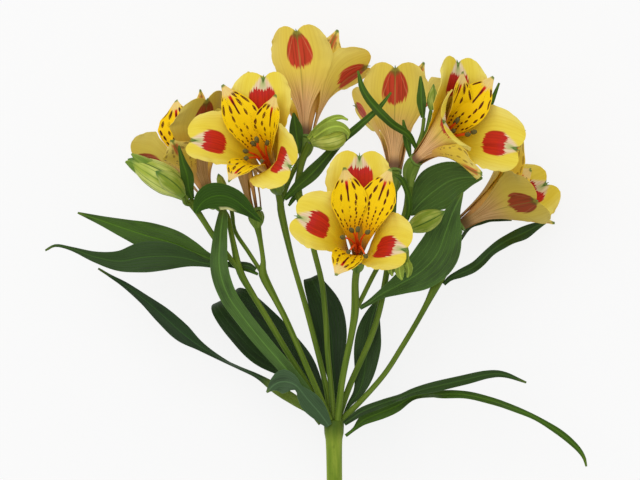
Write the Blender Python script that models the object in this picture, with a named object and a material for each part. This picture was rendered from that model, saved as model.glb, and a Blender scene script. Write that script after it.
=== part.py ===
"""A cut alstroemeria stem, lying on a surface.

One bare stalk ends in a whorl of leaves, from which seven rays carry eight blooms, buds and small leaves.
All lengths in this file are millimetres until a mesh is made. In the tables x runs to the right and y along
the stalk from the whorl at its top, and z is the height above the surface. The finished model lies with the
middle of its box over the origin and its lowest points at height zero.
"""
import math
import random

import bpy
import numpy as np

MM = 0.001
SEED = 7
SHARP_ANGLE = 40

# Thickness of leaves and tepals, and the gap between neighbouring pieces
BLADE = 0.75
GAP = 0.3

# The plate each bloom's tepals grow from: its radius, and its lower and upper side from the bloom's base
DISC_RADIUS = 3.1
DISC_LOW = -0.6
DISC_HIGH = 1.0
DISC_SIDES = 8

# Claws: how far from the bloom's axis the outer and inner ones stand, how high over the bloom's base they
# start, and the angle from the axis at which they leave the plate
OUTER_ROOT = 2.7
INNER_ROOT = 1.5
CLAW_START = 0.3
CLAW_FLARE = 9

# Points of a curve between two rows of a table, and along a tepal, before it is cut into even steps
SPAN_STEPS = 12
TEPAL_STEPS = 40

# A direction that no stem runs along, from which the corners of its rings are counted
SKEW = (0.13, 0.31, 0.94)

# Half width of a tepal at shares of its length
OUTER_WIDTH = ((0, 1.8), (0.15, 2.2), (0.3, 4.0), (0.45, 7.6), (0.6, 11.4), (0.74, 13.9), (0.85, 13.6),
               (0.93, 12.7), (1, 11.4))
INNER_WIDTH = ((0, 1.1), (0.2, 1.5), (0.35, 3.0), (0.5, 5.4), (0.62, 7.3), (0.7, 7.7), (0.78, 6.7),
               (0.86, 4.6), (0.93, 2.2), (1, 0.5))

# Each anther's distance from the bloom's axis, its angle from the lowest inner tepal, its height over the
# bloom's base and the angle of its filament's root; then how far chance turns it in degrees and moves it in
# height
ANTHERS = ((13.6, 6, 33, 0), (14.3, 36, 31, 60), (0.8, 180, 30, 180), (8, -35, 28, 300), (5, 110, 27, 120),
           (3.6, -90, 26, 240))
ANTHER_TURN = 8
ANTHER_SHIFT = 1
ANTHER_RADIUS = 1.05
FILAMENT_RADIUS = 0.45
# A filament's middle ring as a share of its length, and how its end rises and leans out, as shares of it
FILAMENT_MIDDLE = 0.45
LAST_RISE = 0.24
LAST_LEAN = 0.18
# How far from its end an anther starts to swell, is full and starts to close
ANTHER_SWELL = (3.6, 2.7, 1.0)

# The column that bears the filaments: its radius below and at its head, its height, how long its head is,
# and how far from the axis the filaments stand and how deep they are sunk
COLUMN_RADIUS = 0.75
COLUMN_HEAD = 1.45
COLUMN_TOP = 9.0
COLUMN_NECK = 2.0
COLUMN_SIDES = 6
FILAMENT_SIDES = 3
FILAMENT_RING = 1.05
FILAMENT_SINK = 0.5

# The stalk, from its cut end to the whorl: x, y, z and radius
STEM = ((0.3, -235, 3.7, 3.7), (0.8, -205, 3.6, 3.6), (1.2, -160, 10, 3.5), (1, -110, 21, 3.4),
        (0.6, -60, 35, 3.3), (0.2, -25, 45, 3.3), (0, -9, 49, 3.5), (0, -5, 50, 4.1), (0, 0, 50, 4.3))
STEM_SIDES = 10

# The rays, each with its side branches: x, y, z and radius
RAYS = {
    "ray_1": (
        ((-3.1, 0.4, 50, 1.4), (-9, 12, 51, 1.3), (-19, 28, 52, 1.3), (-26.5, 40.7, 52.5, 1.3),
         (-34, 53, 52.5, 1.3), (-39.5, 63, 52, 1.6), (-42.6, 76, 48, 1.2), (-45, 86, 43.5, 1.2),
         (-49.5, 90.5, 39, 1.6)),
        ((-39.6, 63.2, 52, 1.1), (-45, 70, 52, 1.2), (-50.5, 77.5, 52, 1.2), (-56, 86, 51, 1.3),
         (-60.5, 92.5, 51, 1.8)),
        ((-59.4, 90.8, 51.2, 0.9), (-62.3, 91.4, 54.6, 0.9), (-63, 94, 58.4, 1.0))),
    "ray_2": (
        ((-1.55, 0.4, 52.7, 1.4), (-8, 15, 53.5, 1.3), (-19.3, 40.7, 52, 1.3), (-24.4, 50.8, 51, 1.4),
         (-29.8, 61.5, 50, 1.9), (-29.7, 67, 50, 1.1), (-31, 76, 51, 1.1), (-32.2, 82, 51.3, 1.6)),
        ((-29.5, 61, 50, 0.9), (-36, 71, 46, 0.9), (-41.8, 80, 41, 0.9), (-43, 88, 41, 0.9),
         (-45.8, 95.5, 43, 0.9))),
    "ray_3": (
        ((-1.55, 0.4, 47.3, 1.4), (-3.5, 15, 47, 1.2), (-11, 44.9, 46, 1.2), (-17.4, 67.2, 46, 1.2),
         (-21.8, 86, 47, 1.6), (-22.6, 92, 47.5, 1.5), (-23.3, 95.8, 50, 1.5)),
        ((-22.4, 91, 47.4, 1.0), (-20, 98.5, 47, 1.1), (-16.5, 106, 48, 1.1), (-13.5, 110.5, 49.5, 1.3))),
    "ray_4": (
        ((0, 0.4, 50, 1.4), (-1, 12, 50, 1.2), (-2.6, 28, 49, 1.2), (-3.4, 42.4, 49, 1.2),
         (-5, 57.5, 49, 1.2), (-8, 70, 49, 1.2), (-12, 86, 49, 1.3), (-15, 96, 49.3, 1.7),
         (-14.5, 104, 52, 1.4), (-12.8, 111, 55, 1.6), (-10.5, 116, 56.3, 1.8)),),
    "ray_5": (
        ((1.55, 0.4, 52.7, 1.4), (3.4, 17, 55, 1.4), (7.2, 36, 60, 1.4), (8.8, 46.6, 63, 1.7),
         (8.8, 58, 66, 1.5), (9.5, 64, 69.5, 1.6)),
        ((8.9, 46.5, 63, 1.0), (11.3, 51, 62, 1.0), (17.6, 63.4, 59, 1.0), (24, 73, 57.5, 1.0),
         (30.6, 80, 59.8, 1.2)),
        ((26.5, 75.9, 57.6, 0.8), (29.2, 76.2, 59.8, 0.8), (29.7, 74.6, 62.6, 0.9))),
    "ray_6": (
        ((1.55, 0.4, 47.3, 1.4), (6.7, 15, 48, 1.3), (15.1, 34, 49, 1.3), (19.3, 47.5, 50, 1.3),
         (22.3, 63.4, 50, 1.3), (23.7, 73, 50, 1.5), (24.8, 87, 47.5, 1.3), (25.2, 97, 46.8, 1.5)),
        ((23.5, 72, 50, 1.3), (28.2, 82, 54, 1.4), (30.6, 90, 56, 1.5), (31.5, 98.5, 57, 1.6)),
        ((31, 94, 56.4, 1.0), (31.7, 101, 52.4, 1.0), (33.5, 108, 50.5, 1.1), (35, 114, 51, 1.3),
         (37, 121, 51, 0.8), (37.7, 126.6, 50.6, 0.8)),
        ((34.6, 113, 51, 0.8), (38.6, 121, 50, 0.8), (40.6, 129.8, 50, 0.8))),
    "ray_7": (
        ((3.1, 0.4, 50, 1.4), (12.3, 9.5, 50, 1.2), (21.4, 20, 50, 1.15), (28.5, 31, 49, 1.15),
         (34.8, 41.5, 48, 1.15), (39.2, 49.5, 47, 1.3), (43, 57, 45.5, 1.9), (47.5, 64, 43, 1.5),
         (49.8, 71, 39.4, 1.6), (50, 76.8, 36.2, 1.6)),),
}
RAY_SIDES = 6
RAY_RING_SPACING = 13
RAY_FOOT = 1.5

# The ovaries: how deep one is sunk in its stalk, the share of its length where it bends, the shares of the
# bend at which its first rings stand, the length of its straight neck, and its radii from foot to top
OVARY_SIDES = 8
OVARY_SINK = 1.5
OVARY_BEND = 0.45
OVARY_PLACES = (0, 0.3, 0.6)
OVARY_NECK = 0.7
OVARY_RADII = (1.3, 2.6, 3.2, 3.0, 2.7)

# The blooms: the ray that bears each, where its ovary starts, its base and axis, how far its stamens spread
# (none show in the half open bloom h), and for each tepal the tip's place, its last angle from the axis, a
# factor on its width and its roll
BLOOMS = {
    "a": dict(ray="ray_5", ovary=(9.6, 63.8, 69.6), base=(9.7, 68, 76),
              axis=(0, 0.44, 0.9), spread=1.0,
              outer=((10.5, 110.5, 84, 66, 1, 0), (-14.9, 85.8, 96, 82, 1, 0), (29.2, 72, 98, 84, 1, 0)),
              inner=((4.2, 106, 94, 55, 1, 0), (23.3, 105.4, 94, 55, 1, 0), (0.6, 61.4, 108, 84, 0.85, 0))),
    "b": dict(ray="ray_3", ovary=(-23.4, 96.4, 50.8), base=(-25, 101, 57),
              axis=(-0.25, 0.58, 0.775), spread=0.9,
              outer=((-29.6, 143.4, 70, 66, 1, 0), (-58.8, 117.6, 76, 78, 1, 0),
                     (-18.2, 106.3, 97, 84, 1, -40)),
              inner=((-46.6, 140.7, 74, 60, 1, 0), (-24.2, 136.4, 81, 52, 1, 0),
                     (-43.6, 100.2, 94, 80, 0.9, 0))),
    "c": dict(ray="ray_3", ovary=(-12.9, 111.4, 49.4), base=(-11.8, 118.5, 46),
              axis=(0.02, 0.86, -0.5), spread=0.3,
              outer=((-15.8, 163.6, 46, 50, 0.93, 0), (13.6, 149.5, 26, 58, 1, 12), (-34, 140, 14, 56, 1, 0)),
              inner=((1.6, 164.8, 31, 30, 1, 60), (-24, 156, 22, 30, 1, 0), (-6, 146, 8, 40, 1, 0))),
    "d": dict(ray="ray_6", ovary=(25.3, 97.6, 46.7), base=(25.5, 104.5, 43),
              axis=(0.03, 0.87, -0.49), spread=0.3,
              outer=((25.8, 148.2, 43, 50, 1, 0), (9.4, 133, 6, 40, 0.9, -40), (45.5, 137, 15, 56, 1, 0)),
              inner=((38, 151.2, 30, 30, 1, 0), (15, 146, 22, 30, 1, 0), (27, 132, 11, 40, 1, 0))),
    "e": dict(ray="ray_6", ovary=(31.6, 99.2, 57), base=(34.5, 109.6, 62),
              axis=(0.565, 0.55, 0.613), spread=0.65,
              outer=((51.5, 149.4, 78, 60, 1, 0), (75.5, 114, 76, 70, 1.05, -30), (45.5, 125, 97, 68, 0.95, 24)),
              inner=((66.4, 144, 76, 55, 1, 0), (53.5, 146, 84, 45, 1, 0), (61.5, 103.5, 88, 46, 1.3, 60))),
    "f": dict(ray="ray_7", ovary=(50, 76.6, 36.4), base=(53.2, 82.5, 33),
              axis=(0.815, 0.57, -0.07), spread=0.4,
              outer=((84.8, 92.5, 58, 54, 1, 0), (90.5, 100, -1.5, 8, 1, 0), (72, 118, 16, 60, 1, 0)),
              inner=((80.5, 122.5, 38, 36, 1, 0), (93, 83.5, 40, 40, 1, 0), (84, 106, 12, 36, 1, 0))),
    "g": dict(ray="ray_1", ovary=(-50, 91, 38.6), base=(-53, 94.5, 35),
              axis=(-0.45, 0.85, -0.2), spread=0.35,
              outer=((-84, 110.8, 20, 45, 1, -50), (-53.5, 134.5, 54, 55, 1, 0), (-52, 130, -3, -8, 1, 0)),
              inner=((-67, 135.5, 15, 40, 1, -10), (-56.5, 139.5, 40, 24, 1, 0), (-68, 118, 59, 50, 1, 0))),
    "h": dict(ray="ray_2", ovary=(-32.3, 82.4, 51.4), base=(-33.2, 88.5, 51),
              axis=(-0.22, 0.96, -0.1), spread=None,
              outer=((-45.4, 129.4, 55.5, 34, 0.54, 0), (-42.2, 127.8, 38, 34, 0.54, 0),
                     (-31.4, 131.6, 47, 34, 0.54, 0)),
              inner=((-47, 131, 47, 24, 0.45, 0), (-39, 133.4, 41.6, 24, 0.45, 0),
                     (-39, 133.6, 52, 24, 0.45, 0))),
}
# A tepal's line runs straight from its claw over the first of these shares of its length, and straight into
# its tip over the last
OUTER_LEAD = 0.40
INNER_LEAD = 0.50
TIP_LEAD = 0.36
# Steps along and across a tepal, how much closer they stand towards its tip, and its least and greatest cup
OUTER_GRID = (6, 4)
INNER_GRID = (5, 2)
ROW_POWER = 0.9
LEAST_CUP = 0.1
MOST_CUP = 0.45
# The outer tepals end in a heart, in shares of their length and half width: where across it the lobes reach
# out most, how far they do, and the depth and reach of the round behind their outer sides
LOBE_AT = 0.44
LOBE_RISE = 0.06
LOBE_FALL = 0.355
LOBE_REACH = 0.71

# The leaves: their steps along and across, where they twist (share of length and degrees), and the midrib as
# x, y, z and the half width that shows from above
LEAVES = {
    "leaf_1": ((10, 4), (), (
        (-32, 61.6, 48, 0.6), (-36, 63.4, 46.6, 0.9), (-44, 65.6, 46, 1.0), (-53, 68.5, 45.5, 2.2),
        (-60, 71.5, 45, 4.2), (-68, 74.8, 44, 5.6), (-78, 77.6, 43, 5.8), (-88, 80.8, 42, 4),
        (-98, 84.2, 41, 2), (-108, 87.5, 40, 0.4))),
    "leaf_2": ((12, 4), (), (
        (-32.9, 63.5, 49.3, 0.8), (-36, 65.2, 48.6, 1.4), (-42, 65.8, 48.2, 1.2), (-50, 65.6, 47.8, 1.3),
        (-56, 66.6, 47.5, 1.8), (-62, 68.2, 47.6, 3.6), (-70, 69.2, 48, 5.8), (-80, 68.8, 48, 6.5),
        (-90, 67.2, 47, 4.4), (-100, 68.8, 46, 2.4), (-110, 72.2, 45, 0.9), (-117, 73.7, 44.5, 0.6),
        (-121.5, 71.6, 43, 0.4))),
    "leaf_3": ((13, 2), ((0.2, 0), (0.4, 70), (0.6, 0)), (
        (-5.6, -1.2, 50.5, 1.0), (-9, 4, 52, 1.8), (-16, 8.5, 52, 2.2), (-24, 13.5, 51, 2.2),
        (-32, 18.8, 49.5, 1.1), (-40, 22.5, 48, 0.8), (-48, 26.5, 46, 0.9), (-56, 31.3, 44, 1.9),
        (-64, 37, 42, 3.9), (-72, 44.2, 40, 3.6), (-80, 51, 38.5, 2.2), (-88, 57, 37, 1.3),
        (-94, 60.6, 36, 0.7), (-99.5, 64, 35, 0.4))),
    "leaf_4": ((10, 4), (), (
        (-3, -1, 45.4, 1.2), (-5.5, 8, 43, 2.2), (-9.4, 15.6, 40.5, 4.6), (-15.9, 23.5, 38.5, 7.6),
        (-27, 32, 37, 10.8), (-36, 41, 36.5, 10.6), (-42, 47.5, 34.5, 9.6), (-45, 51, 30.5, 7.6),
        (-45, 51.5, 25.5, 4.5), (-42.5, 49, 22, 0.6))),
    "leaf_5": ((12, 2), (), (
        (-4.2, -1, 53.6, 1.2), (-7, 5, 55.5, 1.6), (-12, 12.5, 56.5, 2.4), (-20, 22, 57, 2.9),
        (-30, 33.5, 57, 3.3), (-38, 43.5, 57, 3.4), (-44.5, 53, 57.5, 3.7), (-48, 64, 58, 3.8),
        (-47.8, 76, 56, 3.1), (-46.8, 86, 50, 2.1), (-46.5, 90, 47, 1))),
    "leaf_6": ((9, 4), (), (
        (-58, 87.4, 53.4, 0.8), (-57.2, 89.4, 55, 2), (-54.5, 92.5, 57.4, 4.6), (-50.5, 94.5, 59.8, 6.4),
        (-46, 94.7, 61.4, 6.9), (-41.5, 93, 62, 6), (-37, 89.5, 61.6, 4), (-33, 86, 60.6, 2),
        (-29.7, 83.3, 59.6, 0.4))),
    "leaf_8": ((10, 4), (), (
        (0, -1.2, 44.6, 1.2), (0.5, 6, 43, 1.6), (0.5, 14, 41, 2.2), (-0.5, 25, 40, 4.4), (-1.3, 36, 39, 6.8),
        (-3.6, 47, 38, 6.9), (-8, 56.5, 36.5, 4.6), (-9.6, 60, 33.5, 3.2), (-9, 58, 30, 2.4),
        (-7, 53, 27, 0.5))),
    "leaf_9": ((9, 2), (), (
        (3.6, -1, 46, 0.9), (6, 6, 44.3, 0.9), (10.4, 12.2, 44, 2.3), (12.8, 20, 43, 4.2),
        (14, 30, 42.5, 5.6), (14.8, 38, 42, 5), (16.4, 45, 42, 3), (18.6, 51, 42.5, 0.5))),
    "leaf_10": ((10, 2), (), (
        (-2.2, -1.8, 55, 1.4), (-6.2, 3.8, 58, 3.6), (-9.9, 8, 60.5, 4.3), (-12.9, 11.7, 62.5, 3),
        (-14.9, 14.3, 63.5, 1.6), (-17.4, 16.1, 63.5, 3.6), (-20.8, 16.8, 62.5, 5.1),
        (-23.7, 16.2, 61, 4.1), (-26, 14.6, 60, 2), (-28.2, 12.2, 59, 0.4))),
    "leaf_11": ((14, 2), ((0.25, 0), (0.35, 55), (0.45, 0), (0.6, 40), (0.8, 0)), (
        (4.9, -6.2, 49, 0.7), (8.5, -3.4, 49, 0.8), (12.6, 0.5, 48.5, 2.2), (20, 3.6, 48, 2.8),
        (26, 6, 47, 2.5), (34, 10.2, 46, 1.3), (45, 10.9, 45, 1.8), (55, 10.9, 44, 1.6),
        (65, 8.6, 43, 1.5), (75, 5.2, 41.5, 1.5), (85, 1, 40, 1.1), (95, -5.1, 38, 1.4),
        (102, -11, 36, 1.2), (105.4, -15.5, 35, 0.8), (106.6, -19.6, 34, 0.4))),
    "leaf_12": ((12, 2), ((0.1, 0), (0.3, 50), (0.5, 30), (0.9, 0)), (
        (4.4, -1, 52.7, 1), (8, 1.6, 54, 1.4), (12, 4.2, 54, 1.8), (20, 7.2, 53, 1.6), (28, 9.8, 52, 1.6),
        (34, 12.2, 51.5, 1.7), (45, 14.9, 50, 2.1), (55, 17.2, 48, 2.2), (65, 19.5, 46, 1.7),
        (72, 19.3, 44.5, 1.2), (81, 16, 42, 0.4))),
    "leaf_13": ((11, 4), (), (
        (10.9, 47.6, 61.5, 0.9), (15, 50, 58, 1.2), (20, 53.4, 55, 2), (28, 57.6, 52.5, 4.6),
        (36.5, 62.8, 51, 8), (43.2, 70, 50, 9), (46.8, 79, 50.6, 7.2), (49.8, 87.5, 52.2, 3.4),
        (54, 96, 53, 0.4))),
    "leaf_14": ((9, 4), (), (
        (32, 86.6, 54.2, 0.8), (36, 91.3, 50.8, 5.6), (42, 96.5, 47.5, 9.4), (49, 101, 46, 8.4),
        (56, 102.4, 45.5, 5), (62.5, 102, 45, 0.5))),
    "leaf_15": ((10, 2), ((0.2, 0), (0.3, 35), (0.42, -25), (0.6, 20), (0.8, 0)), (
        (46.2, 57.4, 44.9, 0.8), (49, 60, 44.5, 1.2), (54, 62.2, 43, 1.9), (60, 65.2, 41, 2.2),
        (66, 71.2, 39, 2), (73, 75.6, 35, 2.5), (80, 78.8, 30, 2.8), (86, 82, 27, 1.6), (90, 83.5, 25, 0.4))),
    "leaf_16": ((9, 2), (), (
        (34.6, 114.4, 52.5, 0.7), (31, 120.4, 54.6, 1.4), (24.5, 124.6, 56, 1.7), (17.2, 131.8, 56.5, 1.8),
        (12.2, 139, 56, 1.4), (10, 147, 55, 0.4))),
    "leaf_17": ((12, 2), (), (
        (-20.6, 93.2, 50, 0.8), (-15.8, 98, 53.5, 2), (-9.5, 103.8, 53, 3), (-4, 109.8, 51, 2.3),
        (3, 117.6, 49.5, 1.7), (9, 122.6, 50.5, 1.6), (14, 127, 52, 1.4), (19, 131.6, 52.3, 1),
        (24, 138, 52, 0.4))),
    "leaf_18": ((5, 2), (), (
        (-14.9, 112.4, 54.8, 0.8), (-15.4, 117, 54, 2.2), (-16, 122.5, 52.5, 2.8), (-17, 129.5, 50, 0.4))),
    "leaf_19": ((5, 2), (), (
        (37.3, 127.4, 51.8, 0.8), (36.7, 134, 52.4, 2), (36.5, 140, 52, 1.3), (36.3, 144.8, 51.4, 0.4))),
    "leaf_20": ((7, 2), (), (
        (36.9, 113.8, 50, 0.7), (45, 117.6, 49, 1.3), (56, 123.6, 49, 1.5), (64.6, 131.4, 49, 1.3),
        (69.4, 142, 50, 0.4))),
    "leaf_21": ((4, 2), (), (
        (32, 111, 50, 0.6), (30.6, 118, 50, 1.5), (29, 126.5, 50, 0.4))),
    "leaf_22": ((7, 2), (), (
        (28.4, 80.6, 56.6, 0.8), (31.4, 88, 59, 1.2), (31, 95, 60.8, 1.3), (28.6, 101, 59.8, 1.2),
        (25, 103.6, 56, 0.4))),
    "leaf_23": ((6, 2), (), (
        (-59.5, 93.4, 53.2, 0.9), (-61, 98, 56, 2.2), (-61.6, 103, 58.4, 2.7), (-63.4, 109, 60.4, 1.5),
        (-65, 115.5, 62, 0.4))),
    "leaf_24": ((3, 2), (), (
        (-15.2, 95.3, 47.55, 0.7), (-17, 93.4, 46.6, 1), (-19, 90.4, 45.6, 0.5))),
    "leaf_25": ((5, 2), (), (
        (53.4, 76, 34.6, 0.6), (57.4, 81.4, 26, 0.9), (63, 84, 21.5, 1.4), (69, 85, 19, 1.3),
        (75.5, 84.4, 17.5, 0.4))),
}
# The fold along the midrib, how softly it is rounded there, and the height, number and slant of the waves
# along the edges
LEAF_FOLD = 0.15
LEAF_FOLD_ROUND = 0.17
LEAF_WAVE = 0.4
LEAF_WAVES = 3
LEAF_WAVE_SLANT = 1.6
LEAST_HALF_WIDTH = 0.5

# The buds: x, y, z and radius from foot to shoulder, then the length of the pointed tip
BUDS = {
    "bud_1": (((-61.1, 93.3, 51, 1.8), (-66, 98, 51.6, 4.8), (-71, 101.2, 52, 6.1), (-78, 105.2, 52, 5.2),
               (-84.4, 108.8, 51, 2.2)), 2.6),
    "bud_2": (((-63.2, 94.6, 59.4, 1.4), (-66, 98.2, 61.6, 3.6), (-69.6, 101.2, 62.6, 4),
               (-73.2, 103.8, 62.6, 1.6)), 1.8),
    "bud_3": (((-9.4, 116.8, 56.6, 1.8), (-6.4, 118, 57, 4), (-2, 119, 57.4, 5.6), (2, 120, 57.4, 4.8),
               (4.6, 121, 57, 2)), 1.8),
    "bud_4": (((31.2, 80.3, 60, 1.4), (34, 82, 60.6, 3.4), (38, 84, 61, 4.6), (42.4, 86, 60.6, 3.4),
               (45.2, 87.4, 60, 1.2)), 1.6),
    "bud_5": (((29.6, 74, 63.2, 1.2), (28.8, 71, 64, 2.8), (27.6, 66.4, 64, 3.8),
               (27.4, 62.6, 63.4, 2.2)), 1.4),
    "bud_6": (((40.8, 130.6, 50, 0.9), (41, 133.4, 50, 2.1), (41.4, 137, 50, 2), (41.7, 140, 50, 0.8)), 1.6),
    "bud_7": (((-46.2, 96.2, 43.3, 0.9), (-47, 98.6, 44, 1.9), (-48, 101.8, 45, 1.5)), 2.4),
}
BUD_SIDES = 8
BUD_RINGS = 6

# Colour and roughness of each kind of piece
FINISHES = {
    "stem": ((0.21, 0.33, 0.06), 0.5),
    "ray": ((0.15, 0.28, 0.04), 0.5),
    "leaf": ((0.03, 0.11, 0.03), 0.5),
    "bud": ((0.36, 0.46, 0.10), 0.5),
    "bloom": ((0.80, 0.66, 0.10), 0.55),
    "stamens": ((0.60, 0.22, 0.03), 0.6),
}


def unit(vector):
    """A vector's direction, at length one."""
    vector = np.asarray(vector, float)
    return vector / np.linalg.norm(vector)


def square_to(vector, axis):
    """The part of a vector that is square to an axis."""
    return vector - axis * (vector @ axis)


def bezier(t, first, lead, back, last):
    """Points at shares t of a curve that leaves its first point towards lead and nears its last from back."""
    return (1 - t) ** 3 * first + 3 * (1 - t) ** 2 * t * lead + 3 * (1 - t) * t ** 2 * back + t ** 3 * last


def smooth(rows, count):
    """Rows of a smooth curve through the given ones, at even steps along it; x, y and z come first."""
    rows = np.asarray(rows, float)
    ends = np.vstack([2 * rows[0] - rows[1], rows, 2 * rows[-1] - rows[-2]])
    t = np.linspace(0, 1, SPAN_STEPS, endpoint=False)[:, None]
    dense = []
    for a, b, c, d in zip(ends, ends[1:], ends[2:], ends[3:]):
        slope_in, slope_out = (c - a) / 2, (d - b) / 2
        rise = c - b
        dense.append(b + t * slope_in + t ** 2 * (3 * rise - 2 * slope_in - slope_out)
                     + t ** 3 * (slope_in + slope_out - 2 * rise))
    dense = np.vstack(dense + [rows[-1:]])
    steps = np.linalg.norm(np.diff(dense[:, :3], axis=0), axis=1)
    run = np.append(0, np.cumsum(steps))
    at = np.linspace(0, run[-1], count)
    return np.column_stack([np.interp(at, run, column) for column in dense.T])


def carried(path, side):
    """Directions along a path, and a side vector carried along it without twist."""
    ahead = np.gradient(path, axis=0)
    ahead /= np.linalg.norm(ahead, axis=1)[:, None]
    sides = np.empty_like(ahead)
    for i, direction in enumerate(ahead):
        side = unit(square_to(side, direction))
        sides[i] = side
    return ahead, sides


def slab(grid):
    """A closed blade from a grid of points, with the same triangles on both faces.

    Where the grid would sink below the surface, the blade is pressed flat on it.
    """
    rows, columns = grid.shape[:2]
    pressed = grid[:, :, 2] <= BLADE / 2
    grid[pressed, 2] = BLADE / 2
    normal = np.cross(np.gradient(grid, axis=1), np.gradient(grid, axis=0))
    normal /= np.linalg.norm(normal, axis=2)[:, :, None]
    normal[pressed] = np.sign(normal[pressed] * (0, 0, 1))
    top = (grid + normal * BLADE / 2).reshape(-1, 3)
    bottom = (grid - normal * BLADE / 2).reshape(-1, 3)
    lift = np.maximum(0, -np.minimum(top[:, 2], bottom[:, 2]))
    top[:, 2] += lift
    bottom[:, 2] += lift
    under = rows * columns
    faces = []
    for i in range(rows - 1):
        for j in range(columns - 1):
            a, b = i * columns + j, i * columns + j + 1
            c, d = b + columns, a + columns
            halves = ((a, b, c), (a, c, d)) if 2 * j < columns - 1 else ((a, b, d), (b, c, d))
            for p, q, r in halves:
                faces += [(p, q, r), (under + p, under + r, under + q)]
    rim = [(i, 0) for i in range(rows)] + [(rows - 1, j) for j in range(1, columns)]
    rim += [(i, columns - 1) for i in range(rows - 2, -1, -1)] + [(0, j) for j in range(columns - 2, 0, -1)]
    ring = [i * columns + j for i, j in rim]
    for a, b in zip(ring, ring[1:] + ring[:1]):
        faces += [(a, b, under + b), (a, under + b, under + a)]
    return np.vstack([top, bottom]), faces


def tube(line, sides, tip=0):
    """A closed round stem round a line of x, y, z and radius, with flat ends or a pointed tip."""
    ahead, side = carried(line[:, :3], np.cross(line[1, :3] - line[0, :3], SKEW))
    other = np.cross(ahead, side)
    turn = 2 * math.pi * np.arange(sides) / sides
    across = line[:, 3, None] * np.cos(turn)
    upward = line[:, 3, None] * np.sin(turn)
    rings = line[:, None, :3] + across[:, :, None] * side[:, None] + upward[:, :, None] * other[:, None]
    points = rings.reshape(-1, 3)
    faces = []
    for i in range(len(line) - 1):
        for j in range(sides):
            k = (j + 1) % sides
            a, b, c, d = i * sides + j, i * sides + k, (i + 1) * sides + k, (i + 1) * sides + j
            faces += [(a, b, c), (a, c, d)]
    last = (len(line) - 1) * sides
    faces += [(0, j + 1, j) for j in range(1, sides - 1)]
    if tip:
        points = np.vstack([points, line[-1, :3] + ahead[-1] * tip])
        faces += [(last + j, last + (j + 1) % sides, len(points) - 1) for j in range(sides)]
    else:
        faces += [(last, last + j, last + j + 1) for j in range(1, sides - 1)]
    return points, faces


def blade(rows, steps, twist):
    """A leaf: a shallow gutter along its midrib, with waved edges, twisted where the table says."""
    along, across = steps
    line = smooth(rows, along + 1)
    run = np.linspace(0, 1, along + 1)
    ahead, side = carried(line[:, :3], np.cross(line[1, :3] - line[0, :3], (0, 0, 1)))
    normal = np.cross(side, ahead)
    roll = np.radians(np.interp(run, *zip(*twist)) if twist else run * 0)
    cos, sin = np.cos(roll)[:, None], np.sin(roll)[:, None]
    side, normal = side * cos + normal * sin, normal * cos - side * sin
    half = np.maximum(line[:, 3], LEAST_HALF_WIDTH) / np.cos(roll)
    q = np.linspace(-1, 1, across + 1)
    ripple = np.sin(2 * math.pi * LEAF_WAVES * run[:, None] + LEAF_WAVE_SLANT * q) * q ** 2
    lift = LEAF_FOLD * (np.hypot(q, LEAF_FOLD_ROUND) - LEAF_FOLD_ROUND) * half[:, None]
    lift = lift + LEAF_WAVE * ripple * (half / half.max())[:, None]
    out = half[:, None] * q
    return slab(line[:, None, :3] + out[:, :, None] * side[:, None] + lift[:, :, None] * normal[:, None])


def bloom_frame(axis):
    """The two directions across a bloom's axis from which angles round it are measured."""
    steep = abs(axis[2]) > 0.95
    up = unit(square_to(np.array((0, 1.0, 0) if steep else (0, 0, 1.0)), axis))
    return np.cross(up, axis), up


def claw_angles(bloom):
    """Angles of the claws round the axis: six even places, matched to the directions of the tips."""
    base, axis = np.array(bloom["base"]), unit(bloom["axis"])
    right, up = bloom_frame(axis)
    found = {}
    for whorl in ("outer", "inner"):
        reach = np.array(bloom[whorl])[:, :3] - base
        found[whorl] = np.degrees(np.arctan2(reach @ up, reach @ right)) % 360
    order = np.argsort(found["outer"])
    first = np.mean(found["outer"][order] - 120 * np.arange(3))
    outer = np.empty(3)
    outer[order] = first + 120 * np.arange(3)
    order = np.argsort(found["inner"])
    choices = []
    for turn in range(3):
        places = np.empty(3)
        places[order] = first + 60 + 120 * ((np.arange(3) + turn) % 3)
        miss = (found["inner"] - places + 180) % 360 - 180
        choices.append((np.sum(miss ** 2), turn, places))
    return {"outer": outer, "inner": min(choices)[2]}


def heart(q):
    """How far an outer tepal's end reaches past its midrib at shares q of its half width."""
    inside = np.minimum(np.abs(q) / LOBE_AT, 1)
    outside = LOBE_REACH * np.clip((np.abs(q) - LOBE_AT) / (1 - LOBE_AT), 0, 1)
    return LOBE_RISE * (1 - (1 - inside) ** 2) - LOBE_FALL * (1 - np.sqrt(1 - outside ** 2))


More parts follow.
